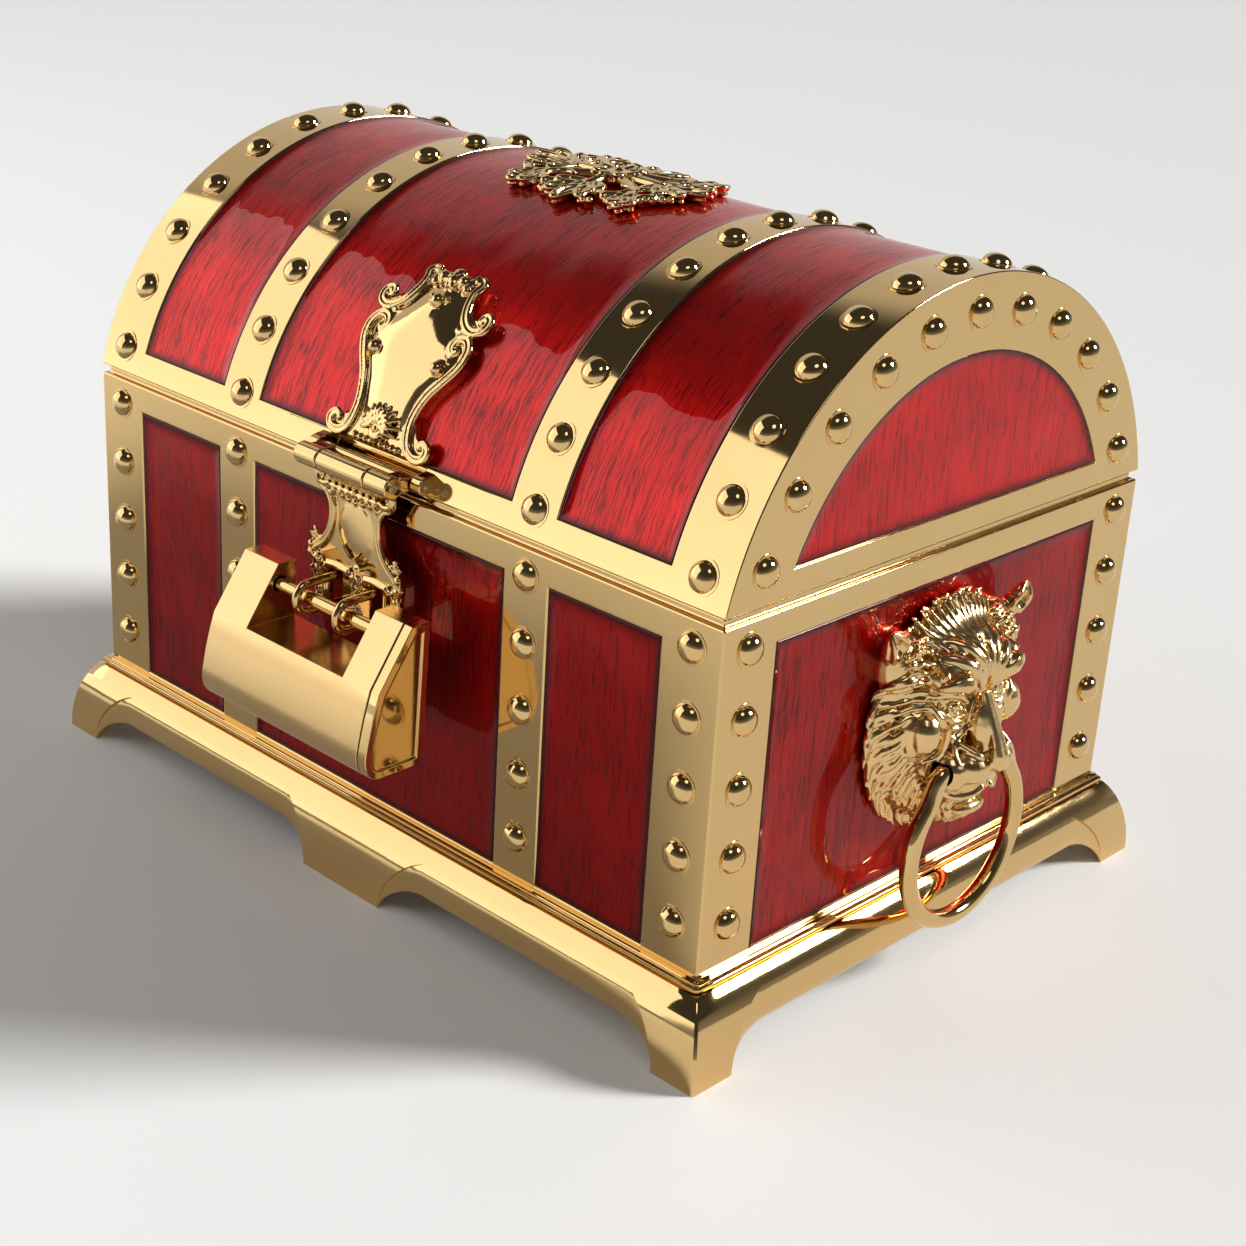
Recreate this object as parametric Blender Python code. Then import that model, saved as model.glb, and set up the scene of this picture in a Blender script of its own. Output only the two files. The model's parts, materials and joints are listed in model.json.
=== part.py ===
"""A barrel-lidded trinket chest in gilt cast metal with red enamel panels.

The chest stands on a footed plinth. Its lid turns on two rear hinges, a hasp
hangs from the lid over two staple loops, and a bar padlock closes the loops.
A lion's head on each end carries a ring pull.

X runs along the chest, -Y is the front and Z is up. The origin is under the
middle of the whole chest, padlock included.
"""
from math import asin, atan2, cos, pi, radians, sin, sqrt, tau

import bmesh
import bpy
from mathutils import Matrix, Vector

MM = 0.001

# Overall body
BODY_LENGTH = 172 * MM
BODY_DEPTH = 120.5 * MM
TUB_BOTTOM = 17.2 * MM
TUB_TOP = 81.0 * MM
SEAM = 1.8 * MM
LID_RISE = 47.2 * MM

# Clearances and cutting overrun
CLEAR = 0.3 * MM
OVERRUN = 2.0 * MM
MERGE = 0.0001 * MM

# Castings
TUB_WALL = 2.8 * MM
TUB_FLOOR = 2.6 * MM
LID_WALL = 2.8 * MM
RIM_INSET = 1.1 * MM

# Frame of posts, rails and bands round the enamel
CORNER_POST = 13.5 * MM
MID_BAND = 11.2 * MM
MID_BAND_X = 40.7 * MM
TOP_RAIL = 5.6 * MM
LID_RAIL = 4.9 * MM
END_BORDER = 13.8 * MM
RECESS = 1.5 * MM
ENAMEL = 0.9 * MM

# Cast domes
DOME_RADIUS = 3.0 * MM
DOME_HEIGHT = 1.9 * MM
DOME_SINK = 0.5 * MM
DOME_SIDES = 8
POST_DOMES = 5
BAND_DOMES = 13
END_DOMES = 11
LOWEST_DOME = 8.0 * MM
HIGHEST_DOME = 5.0 * MM
BAND_DOME_RISE = 5.0 * MM
END_DOME_RISE = 6.0 * MM
DOME_EDGE = 6.7 * MM

# Plinth
SKIRT_REACH = 6.9 * MM
SKIRT_WALL = 3.0 * MM
SEAT_WIDTH = 9.0 * MM
SEAT_THICK = 2.4 * MM
LEDGE_REACH = 1.1 * MM
LEDGE_STEP = 0.6 * MM
GROOVE = 0.5 * MM
ARCH_RISE = 6.0 * MM
CORNER_FOOT = 9.8 * MM
FOOT_FLARE = 8.0 * MM
CENTRE_FOOT = 22.4 * MM
PAD_THICK = 1.2 * MM
PAD_MARGIN = 14.0 * MM

# Plinth screws
SCREW_RADIUS = 1.2 * MM
SCREW_HEAD = 2.6 * MM
SCREW_HEAD_THICK = 1.5 * MM
SCREW_COVER = 0.8 * MM

# Linings
LINING = 1.2 * MM

# Rear hinges
HINGE_LENGTH = 16.0 * MM
HINGE_KNUCKLE = 2.1 * MM
HINGE_MIDDLE = 6.4 * MM
HINGE_PIN = 0.8 * MM
HINGE_LEAF = 1.0 * MM
BASE_LEAF_HEIGHT = 4.2 * MM
LID_LEAF_HEIGHT = 3.4 * MM

# Hasp: pocket and lugs on the lid, link, strap and their pins
LUG_X = 13.1 * MM
LUG_WIDTH = 2.6 * MM
LUG_RADIUS = 1.7 * MM
POCKET_DEPTH = 1.6 * MM
POCKET_BOTTOM = 0.8 * MM
POCKET_TOP = 0.5 * MM
BACK_PIN = 0.5 * MM
BACK_PIN_STAND = 0.9 * MM
BACK_PIN_RISE = 2.2 * MM
BACK_BARREL = 1.2 * MM
LINK_REACH = 5.1 * MM
LINK_KNUCKLE = 2.1 * MM
LINK_ARM = 4.2 * MM
LINK_ARM_THICK = 2.6 * MM
FRONT_PIN = 0.9 * MM
STRAP_KNUCKLE = 13.0 * MM
STRAP_THICK = 1.6 * MM
STRAP_STAND = 2.6 * MM
STRAP_TIP_CLEAR = 0.5 * MM
STRAP_HALF = 13.4 * MM
WINDOW_INNER_MARGIN = 2.1 * MM
WINDOW_OUTER_MARGIN = 1.5 * MM
WINDOW_FOOT_MARGIN = 1.1 * MM

# Staple loops
LOOP_X = 5.7 * MM
LOOP_THICK = 1.8 * MM
LOOP_WIRE = 1.7 * MM
LOOP_SLACK = 0.6 * MM
LOOP_EYE_LENGTH = 5.0 * MM
LOOP_SHANK = 1.0 * MM
LOOP_SHANK_LENGTH = 2.2 * MM

# Padlock
BAR_STAND = 10.2 * MM
BAR_DROP = 21.5 * MM
BAR_RADIUS = 1.3 * MM
LOCK_HALF = 24.0 * MM
LOCK_NOTCH_SLACK = 0.5 * MM
LOCK_PLATE = 2.2 * MM
LOCK_TOP_RISE = 4.0 * MM
LOCK_NOTCH_DROP = 7.0 * MM
LOCK_KINK_DROP = 6.8 * MM
LOCK_LIP_DROP = 20.4 * MM
LOCK_BASE_DROP = 23.4 * MM
LOCK_TOP_BACK = 3.8 * MM
LOCK_TOP_FRONT = 0.4 * MM
LOCK_KINK_REACH = 7.8 * MM
LOCK_LIP_REACH = 10.9 * MM
LOCK_BASE_REACH = 9.6 * MM
LOCK_BASE_BACK = 2.6 * MM
BAR_TAIL = 5.6 * MM
CHANNEL_BACK = 0.6 * MM
CHANNEL_DEPTH = 6.0 * MM
CHANNEL_TOP_DROP = 10.5 * MM
CHANNEL_HEIGHT = 6.5 * MM
CHANNEL_END = 5.5 * MM
STEM_THICK = 2.0 * MM
STEM_HEIGHT = 3.6 * MM
STEM_SHORT = 4.0 * MM
SPRING_THICK = 0.5 * MM
SPRING_SPREAD = 1.6 * MM
SPRING_LENGTH = 18.0 * MM

# Cartouche and crest on the lid
CARTOUCHE_FOOT = 0.6 * MM
CARTOUCHE_LENGTH = 35.0 * MM
CARTOUCHE_HALF = 14.4 * MM
CARTOUCHE_THICK = 1.4 * MM
CARTOUCHE_CROWN = 1.6 * MM
CREST_LENGTH = 46.0 * MM
CREST_WIDTH = 38.0 * MM
CREST_THICK = 2.4 * MM
CREST_RIM = 5.0 * MM
CREST_BAR = 3.0 * MM
CREST_LOBES = 8

# Lion heads and ring pulls
HEAD_HEIGHT = 46.0 * MM
HEAD_WIDTH = 42.0 * MM
HEAD_DROP = 31.0 * MM
HEAD_DEPTH = 9.0 * MM
FACE_REACH = 13.0 * MM
MUZZLE_REACH = 17.6 * MM
MUZZLE_HALF = 7.6 * MM
CHEEK_REACH = 11.8 * MM
NOSE_REACH = 15.5 * MM
BROW_REACH = 14.2 * MM
CHIN_REACH = 12.5 * MM
EAR_RADIUS = 3.8 * MM
EAR_REACH = 6.5 * MM
HEAD_STUD = 1.5 * MM
HEAD_STUD_LENGTH = 2.2 * MM
RING_RADIUS = 16.0 * MM
RING_WIRE = 1.75 * MM
RING_STAND = 9.8 * MM
RING_PIVOT_DROP = 6.8 * MM

# Facets
ARC_STEPS = 30
ROUND_STEPS = 12
RING_STEPS = 28
WIRE_SIDES = 8
EAR_SIDES = 8
MANE_LOCKS = 14
PASSAGE_STEPS = 8
SHARP_ANGLE = radians(30)

# Finishes: colour, roughness, metallic, coat
GILT = ((0.83, 0.60, 0.28), 0.12, 1.0, 0.0)
STEEL = ((0.55, 0.54, 0.52), 0.28, 1.0, 0.0)
RED_ENAMEL = ((0.52, 0.02, 0.02), 0.08, 0.0, 1.0)
VELVET = ((0.20, 0.01, 0.02), 0.90, 0.0, 0.0)
BLACK_FLOCK = ((0.03, 0.03, 0.03), 0.95, 0.0, 0.0)

# Worked out from the sizes above
HALF_X = BODY_LENGTH / 2
HALF_Y = BODY_DEPTH / 2
SEAT_Z = TUB_BOTTOM - CLEAR
SCREW_TIP_Z = TUB_BOTTOM + TUB_FLOOR - SCREW_COVER
LID_BOTTOM = TUB_TOP + SEAM
LID_RADIUS = (HALF_Y ** 2 + LID_RISE ** 2) / (2 * LID_RISE)
LID_AXIS_Z = LID_BOTTOM + LID_RISE - LID_RADIUS
LOCK_FRONT = BAR_STAND + LOCK_LIP_REACH
MID_Y = (LOCK_FRONT - SKIRT_REACH) / 2
FRONT = MID_Y - HALF_Y
BACK = MID_Y + HALF_Y
HINGE_X = MID_BAND_X
HINGE_Y = BACK + HINGE_KNUCKLE + CLEAR + CLEAR
HINGE_Z = TUB_TOP + SEAM / 2
LEAF_TO_AXIS = HINGE_KNUCKLE + CLEAR
PANEL_FOOT = SEAT_Z + CLEAR + CLEAR
BACK_PIN_Y = FRONT - BACK_PIN_STAND
BACK_PIN_Z = LID_BOTTOM + BACK_PIN_RISE
FRONT_PIN_Y = BACK_PIN_Y - LINK_REACH
BAR_Y = FRONT - BAR_STAND
BAR_HEIGHT = TUB_TOP - BAR_DROP
LOOP_EYE = BAR_RADIUS + LOOP_SLACK
LOOP_RADIUS = LOOP_EYE + LOOP_WIRE
STRAP_TIP = BAR_HEIGHT - LOCK_NOTCH_DROP + STRAP_TIP_CLEAR
STRAP_LENGTH = BACK_PIN_Z - STRAP_TIP
LOCK_NOTCH_HALF = STRAP_HALF + LOCK_NOTCH_SLACK
HEAD_CENTRE_Z = TUB_TOP - HEAD_DROP
RING_PIVOT_X = HALF_X + RING_STAND
RING_PIVOT_Z = HEAD_CENTRE_Z - RING_PIVOT_DROP


def rail_angle(height):
    """Angle on the lid's arc, from the front horizon, of a height above its axis."""
    return asin((height - LID_AXIS_Z) / LID_RADIUS)


LID_EDGE_ANGLE = rail_angle(LID_BOTTOM)
PANEL_ANGLE = rail_angle(LID_BOTTOM + LID_RAIL)


def clear_scene():
    """Start from an empty scene."""
    for item in list(bpy.data.objects):
        bpy.data.objects.remove(item, do_unlink=True)


def finish_material(name, finish):
    """A Principled material in one of the chest's finishes."""
    colour, roughness, metallic, coat = finish
    material = bpy.data.materials.new(name)
    material.use_nodes = True
    shader = material.node_tree.nodes["Principled BSDF"]
    shader.inputs["Base Color"].default_value = (*colour, 1.0)
    shader.inputs["Roughness"].default_value = roughness
    shader.inputs["Metallic"].default_value = metallic
    shader.inputs["Coat Weight"].default_value = coat
    return material


def place_object(name, bm, finish=None):
    """Turn a bmesh into an object; without a finish it is a cutter or a join."""
    mesh = bpy.data.meshes.new(name)
    bmesh.ops.recalc_face_normals(bm, faces=bm.faces)
    bm.to_mesh(mesh)
    bm.free()
    item = bpy.data.objects.new(name, mesh)
    bpy.context.scene.collection.objects.link(item)
    if finish is None:
        item.hide_render = True
        item.display_type = "WIRE"
    else:
        mesh.materials.append(finish_material(name, finish))
        mesh.shade_smooth()
        mesh.set_sharp_from_angle(angle=SHARP_ANGLE)
    return item


def shape(item, operation, bm, label):
    """Cut or join a bmesh to an object with a live Boolean."""
    tool = place_object(f"{item.name}_{label}", bm)
    modifier = item.modifiers.new(label, "BOOLEAN")
    modifier.object = tool
    modifier.operation = operation
    modifier.solver = "EXACT"
    return item


def cut(item, bm, label):
    """Take a shape out of an object."""
    return shape(item, "DIFFERENCE", bm, label)


def join(item, bm, label):
    """Unite a shape with an object."""
    return shape(item, "UNION", bm, label)


def move_origin(item, point):
    """Put an object's origin at a point, with its mesh where it was."""
    item.data.transform(Matrix.Translation(-Vector(point)))
    item.location = point


def merged(parts):
    """Collect several bmeshes that do not touch into one."""
    whole = bmesh.new()
    for part in parts:
        holder = bpy.data.meshes.new("holder")
        part.to_mesh(holder)
        part.free()
        whole.from_mesh(holder)
        bpy.data.meshes.remove(holder)
    return whole


def block(low, high):
    """A box between two corners."""
    bm = bmesh.new()
    bmesh.ops.create_cube(bm, size=1)
    low, high = Vector(low), Vector(high)
    bmesh.ops.scale(bm, vec=high - low, verts=bm.verts)
    bmesh.ops.translate(bm, vec=(low + high) / 2, verts=bm.verts)
    return bm


def prism(points, axis, low, high):
    """A straight prism; points are the other two coordinates in X, Y, Z order."""
    bm = bmesh.new()
    corners = []
    for point in points:
        place = list(point)
        place.insert(axis, low)
        corners.append(bm.verts.new(place))
    face = bm.faces.new(corners)
    grown = bmesh.ops.extrude_face_region(bm, geom=[face])["geom"]
    step = Vector((0, 0, 0))
    step[axis] = high - low
    moved = [v for v in grown if isinstance(v, bmesh.types.BMVert)]
    bmesh.ops.translate(bm, vec=step, verts=moved)
    bmesh.ops.recalc_face_normals(bm, faces=bm.faces)
    return bm


def turned(profile, matrix, sides=ROUND_STEPS):
    """Spin (radius, height) points about Z and move the solid into place."""
    bm = bmesh.new()
    verts = [bm.verts.new((radius, 0, height)) for radius, height in profile]
    edges = [bm.edges.new(pair) for pair in zip(verts, verts[1:])]
    bmesh.ops.spin(bm, geom=verts + edges, cent=(0, 0, 0), axis=(0, 0, 1), angle=tau,
                   steps=sides, use_merge=True)
    bmesh.ops.remove_doubles(bm, verts=bm.verts, dist=MERGE)
    bmesh.ops.recalc_face_normals(bm, faces=bm.faces)
    bmesh.ops.transform(bm, matrix=matrix, verts=bm.verts)
    return bm


def rod(radius, low, high, axis, centre, sides=ROUND_STEPS):
    """A round bar along X, Y or Z between two values of that coordinate."""
    turn = (Matrix.Rotation(pi / 2, 4, "Y"), Matrix.Rotation(-pi / 2, 4, "X"), Matrix.Identity(4))[axis]
    start = Vector(centre)
    start[axis] = low
    length = high - low
    profile = [(0, 0), (radius, 0), (radius, length), (0, length)]
    return turned(profile, Matrix.Translation(start) @ turn, sides)


def arc(radius, start, end, steps=ARC_STEPS, centre=(0, 0)):
    """Points of an arc in the Y, Z plane, angles counted up from the front."""
    turns = [start + (end - start) * i / steps for i in range(steps + 1)]
    return [(centre[0] - radius * cos(a), centre[1] + radius * sin(a)) for a in turns]


def lid_arc(radius, start, end):
    """An arc about the lid's own axis."""
    return arc(radius, start, end, centre=(MID_Y, LID_AXIS_Z))


def lid_slice(inner, outer, start, end, low, high):
    """A curved slab round the lid's axis, between two radii and two X values."""
    outline = lid_arc(outer, start, end) + lid_arc(inner, end, start)
    return prism(outline, 0, low, high)


def lid_solid(radius, bottom, low, high):
    """Everything under an arc of the lid and above a level."""
    edge = asin((bottom - LID_AXIS_Z) / radius)
    return prism(lid_arc(radius, edge, pi - edge), 0, low, high)


def lid_reach(height):
    """How far the lid's outer face lies from the middle plane at a height."""
    return sqrt(LID_RADIUS ** 2 - (height - LID_AXIS_Z) ** 2)


def dome(matrix):
    """One cast half-round head, sunk a little into what carries it."""
    waist_share, shoulder_share = 0.72, 0.74
    profile = [
        (0, -DOME_SINK),
        (DOME_RADIUS, -DOME_SINK),
        (DOME_RADIUS, 0),
        (DOME_RADIUS * waist_share, DOME_HEIGHT * shoulder_share),
        (0, DOME_HEIGHT),
    ]
    return turned(profile, matrix, DOME_SIDES)


def face_matrix(normal_axis, sign, place):
    """A frame whose Z points out of a face that looks along plus or minus an axis."""
    turns = {
        (0, 1): Matrix.Rotation(pi / 2, 4, "Y"),
        (0, -1): Matrix.Rotation(-pi / 2, 4, "Y"),
        (1, 1): Matrix.Rotation(-pi / 2, 4, "X"),
        (1, -1): Matrix.Rotation(pi / 2, 4, "X"),
    }
    return Matrix.Translation(place) @ turns[normal_axis, sign]


def spread(count, low, high):
    """Evenly spaced values, both ends included."""
    return [low + (high - low) * i / (count - 1) for i in range(count)]


def tub_dome_places():
    """Frames of the domes on the tub's posts and bands."""
    levels = spread(POST_DOMES, TUB_BOTTOM + LOWEST_DOME, TUB_TOP - HIGHEST_DOME)
    along = [HALF_X - DOME_EDGE, MID_BAND_X]
    across = HALF_Y - DOME_EDGE
    for z in levels:
        for x in along + [-x for x in along]:
            yield face_matrix(1, -1, (x, FRONT, z))
            under_hinge = z < HINGE_Z - LEAF_TO_AXIS - BASE_LEAF_HEIGHT - DOME_RADIUS
            if abs(x) != HINGE_X or under_hinge:
                yield face_matrix(1, 1, (x, BACK, z))
        for y in (MID_Y - across, MID_Y + across):
            yield face_matrix(0, 1, (HALF_X, y, z))
            yield face_matrix(0, -1, (-HALF_X, y, z))


def lid_dome_places():
    """Frames of the domes round the lid's bands and on its ends."""
    first = rail_angle(LID_BOTTOM + BAND_DOME_RISE)
    for index, angle in enumerate(spread(BAND_DOMES, first, pi - first), start=1):
        y = MID_Y - LID_RADIUS * cos(angle)
        z = LID_AXIS_Z + LID_RADIUS * sin(angle)
        for x in (HALF_X - DOME_EDGE, MID_BAND_X, -MID_BAND_X, DOME_EDGE - HALF_X):
            at_hinge = abs(x) == HINGE_X and index == BAND_DOMES
            if not at_hinge:
                yield Matrix.Translation((x, y, z)) @ Matrix.Rotation(pi / 2 - angle, 4, "X")
    ring = LID_RADIUS - DOME_EDGE
    first = asin((LID_BOTTOM + END_DOME_RISE - LID_AXIS_Z) / ring)
    for angle in spread(END_DOMES, first, pi - first):
        y = MID_Y - ring * cos(angle)
        z = LID_AXIS_Z + ring * sin(angle)
        yield face_matrix(0, 1, (HALF_X, y, z))
        yield face_matrix(0, -1, (-HALF_X, y, z))


def panel_spans():
    """Name and X range of the three fields between the posts and bands."""
    outer = HALF_X - CORNER_POST
    band_in = MID_BAND_X - MID_BAND / 2
    band_out = MID_BAND_X + MID_BAND / 2
    return [("left", -outer, -band_out), ("centre", -band_in, band_in), ("right", band_out, outer)]


def screw_places():
    """The four corners where the plinth is screwed to the tub."""
    inset = SEAT_WIDTH / 2
    return [
        (sx * (HALF_X - inset), MID_Y + sy * (HALF_Y - inset))
        for sx in (-1, 1)
        for sy in (-1, 1)
    ]


def make_tub():
    """The open cast box with posts, rails, recessed fields and domes."""
    casting = block((-HALF_X, FRONT, TUB_BOTTOM), (HALF_X, BACK, TUB_TOP))
    tub = place_object("tub", casting, GILT)
    inner = (HALF_X - TUB_WALL, HALF_Y - TUB_WALL)
    lip_x, lip_y = HALF_X - RIM_INSET, HALF_Y - RIM_INSET
    lip = block((-lip_x, MID_Y - lip_y, TUB_TOP - OVERRUN), (lip_x, MID_Y + lip_y, LID_BOTTOM - CLEAR))
    join(tub, lip, "rim_lip")
    hollow = block(
        (-inner[0], MID_Y - inner[1], TUB_BOTTOM + TUB_FLOOR),
        (inner[0], MID_Y + inner[1], LID_BOTTOM + OVERRUN),
    )
    cut(tub, hollow, "hollow")
    foot, head = TUB_BOTTOM - OVERRUN, TUB_TOP - TOP_RAIL
    fields = []
    for _, low, high in panel_spans():
        fields.append(block((low, FRONT - OVERRUN, foot), (high, FRONT + RECESS, head)))
        fields.append(block((low, BACK - RECESS, foot), (high, BACK + OVERRUN, head)))
    across = HALF_Y - CORNER_POST
    for low, high in ((HALF_X - RECESS, HALF_X + OVERRUN), (-HALF_X - OVERRUN, RECESS - HALF_X)):
        fields.append(block((low, MID_Y - across, foot), (high, MID_Y + across, head)))
    cut(tub, merged(fields), "fields")
    join(tub, merged([dome(frame) for frame in tub_dome_places()]), "domes")
    loop_bottom = FRONT + LOOP_SHANK_LENGTH + CLEAR
    bores = [
        rod(SCREW_RADIUS + CLEAR, TUB_BOTTOM - OVERRUN, SCREW_TIP_Z + CLEAR, 2, (x, y, 0))
        for x, y in screw_places()
    ]
    bores += [
        rod(LOOP_SHANK + CLEAR, FRONT - OVERRUN, loop_bottom, 1, (x, 0, BAR_HEIGHT))
        for x in (-LOOP_X, LOOP_X)
    ]
    stud = HEAD_STUD + CLEAR
    reach = HEAD_STUD_LENGTH + CLEAR
    bores.append(rod(stud, HALF_X - reach, HALF_X + OVERRUN, 0, (0, MID_Y, HEAD_CENTRE_Z)))
    bores.append(rod(stud, -HALF_X - OVERRUN, reach - HALF_X, 0, (0, MID_Y, HEAD_CENTRE_Z)))
    cut(tub, merged(bores), "bores")


def make_tub_enamel():
    """The eight enamel fields of the tub."""
    foot, head = PANEL_FOOT, TUB_TOP - TOP_RAIL - CLEAR
    deep, shallow = RECESS - CLEAR, RECESS - CLEAR - ENAMEL
    for name, low, high in panel_spans():
        low, high = low + CLEAR, high - CLEAR
        front = block((low, FRONT + shallow, foot), (high, FRONT + deep, head))
        panel = place_object(f"enamel_front_{name}", front, RED_ENAMEL)
        if name == "centre":
            holes = [
                rod(LOOP_SHANK + CLEAR, FRONT - OVERRUN, FRONT + OVERRUN, 1, (x, 0, BAR_HEIGHT))
                for x in (-LOOP_X, LOOP_X)
            ]
            cut(panel, merged(holes), "loop_holes")
        back = block((low, BACK - deep, foot), (high, BACK - shallow, head))
        place_object(f"enamel_back_{name}", back, RED_ENAMEL)
    across = HALF_Y - CORNER_POST - CLEAR
    for name, sign in (("right", 1), ("left", -1)):
        faces = sorted((sign * (HALF_X - deep), sign * (HALF_X - shallow)))
        end = block((faces[0], MID_Y - across, foot), (faces[1], MID_Y + across, head))
        panel = place_object(f"enamel_end_{name}", end, RED_ENAMEL)
        centre = (0, MID_Y, HEAD_CENTRE_Z)
        hole = rod(HEAD_STUD + CLEAR, faces[0] - OVERRUN, faces[1] + OVERRUN, 0, centre)
        cut(panel, hole, "stud_hole")


def make_tub_lining():
    """One folded velvet lining for the tub's floor and walls."""
    out_x, out_y = HALF_X - TUB_WALL - CLEAR, HALF_Y - TUB_WALL - CLEAR
    floor, top = TUB_BOTTOM + TUB_FLOOR + CLEAR, TUB_TOP
    outer = block((-out_x, MID_Y - out_y, floor), (out_x, MID_Y + out_y, top))
    lining = place_object("tub_lining", outer, VELVET)
    in_x, in_y = out_x - LINING, out_y - LINING
    inner = block((-in_x, MID_Y - in_y, floor + LINING), (in_x, MID_Y + in_y, top + OVERRUN))
    cut(lining, inner, "inside")


def skirt_profile():
    """Reach outside the tub's wall and height, from the seat's inner edge to the ground."""
    arc_rise_share, arc_back_share = 1.107, 1.22
    rise = SEAT_Z - LEDGE_STEP - LEDGE_STEP - GROOVE
    semi_z, semi_x = rise * arc_rise_share, SKIRT_REACH * arc_back_share
    points = [
        (-SEAT_WIDTH, SEAT_Z),
        (LEDGE_REACH, SEAT_Z),
        (LEDGE_REACH, SEAT_Z - LEDGE_STEP),
        (LEDGE_REACH + LEDGE_STEP, SEAT_Z - LEDGE_STEP),
        (LEDGE_REACH + LEDGE_STEP, SEAT_Z - LEDGE_STEP - LEDGE_STEP),
        (LEDGE_REACH, SEAT_Z - LEDGE_STEP - LEDGE_STEP),
        (LEDGE_REACH, rise),
    ]
    curve_shares = (0.9, 0.75, 0.6, 0.42, 0.22, 0.0)
    for share in curve_shares:
        z = rise * share
        points.append((SKIRT_REACH - semi_x + semi_x * sqrt(1 - (z / semi_z) ** 2), z))
    points += [
        (SKIRT_REACH - SKIRT_WALL, 0),
        (SKIRT_REACH - SKIRT_WALL, rise / 2),
        (0, SEAT_Z - SEAT_THICK),
        (-SEAT_WIDTH, SEAT_Z - SEAT_THICK),
    ]
    return points


def framed(profile):
    """Run a closed (reach, height) outline round the tub's plan with mitred corners."""
    bm = bmesh.new()
    corners = [(1, -1), (1, 1), (-1, 1), (-1, -1)]
    loops = []
    for sx, sy in corners:
        loops.append([
            bm.verts.new((sx * (HALF_X + reach), MID_Y + sy * (HALF_Y + reach), z))
            for reach, z in profile
        ])
    count = len(profile)
    for a, b in zip(loops, loops[1:] + loops[:1]):
        for i in range(count):
            j = (i + 1) % count
            bm.faces.new((a[i], a[j], b[j], b[i]))
    bmesh.ops.recalc_face_normals(bm, faces=bm.faces)
    return bm


def arch_outline(low, high):
    """The low opening between two feet, with coved ends."""
    bend_share, lift_share = 0.55, 0.5
    return [
        (low, -OVERRUN),
        (low, 0),
        (low + FOOT_FLARE * bend_share, ARCH_RISE * lift_share),
        (low + FOOT_FLARE, ARCH_RISE),
        (high - FOOT_FLARE, ARCH_RISE),
        (high - FOOT_FLARE * bend_share, ARCH_RISE * lift_share),
        (high, 0),
        (high, -OVERRUN),
    ]


def make_plinth():
    """The footed skirt under the tub, with a seat inside and arches between the feet."""
    plinth = place_object("plinth", framed(skirt_profile()), GILT)
    far_x, far_y = HALF_X + SKIRT_REACH, HALF_Y + SKIRT_REACH
    depth = far_y + OVERRUN
    foot_x, foot_y = far_x - CORNER_FOOT, far_y - CORNER_FOOT
    spans = ((-foot_x, -CENTRE_FOOT / 2), (CENTRE_FOOT / 2, foot_x))
    for name, (low, high) in zip(("left", "right"), spans):
        cut(plinth, prism(arch_outline(low, high), 1, MID_Y - depth, MID_Y + depth), f"arch_{name}")
    ends = prism(arch_outline(MID_Y - foot_y, MID_Y + foot_y), 0, -far_x - OVERRUN, far_x + OVERRUN)
    cut(plinth, ends, "arch_ends")
    holes = [
        rod(SCREW_RADIUS + CLEAR, SEAT_Z - SEAT_THICK - OVERRUN, SEAT_Z + OVERRUN, 2, (x, y, 0))
        for x, y in screw_places()
    ]
    cut(plinth, merged(holes), "screw_holes")


def make_base_pad():
    """The flocked board glued under the tub, inside the plinth's seat."""
    margin = max(PAD_MARGIN, SEAT_WIDTH + CLEAR)
    x, y = HALF_X - margin, HALF_Y - margin
    top = TUB_BOTTOM - CLEAR
    pad = block((-x, MID_Y - y, top - PAD_THICK), (x, MID_Y + y, top))
    place_object("base_pad", pad, BLACK_FLOCK)


def make_screws():
    """Four screws up through the seat into the tub's floor."""
    under = SEAT_Z - SEAT_THICK - CLEAR
    for index, (x, y) in enumerate(screw_places(), start=1):
        tip = SCREW_TIP_Z - under
        profile = [
            (0, -SCREW_HEAD_THICK),
            (SCREW_HEAD, -SCREW_HEAD_THICK),
            (SCREW_HEAD, 0),
            (SCREW_RADIUS, 0),
            (SCREW_RADIUS, tip),
            (0, tip),
        ]
        body = turned(profile, Matrix.Translation((x, y, under)))
        place_object(f"plinth_screw_{index}", body, STEEL)


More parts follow.
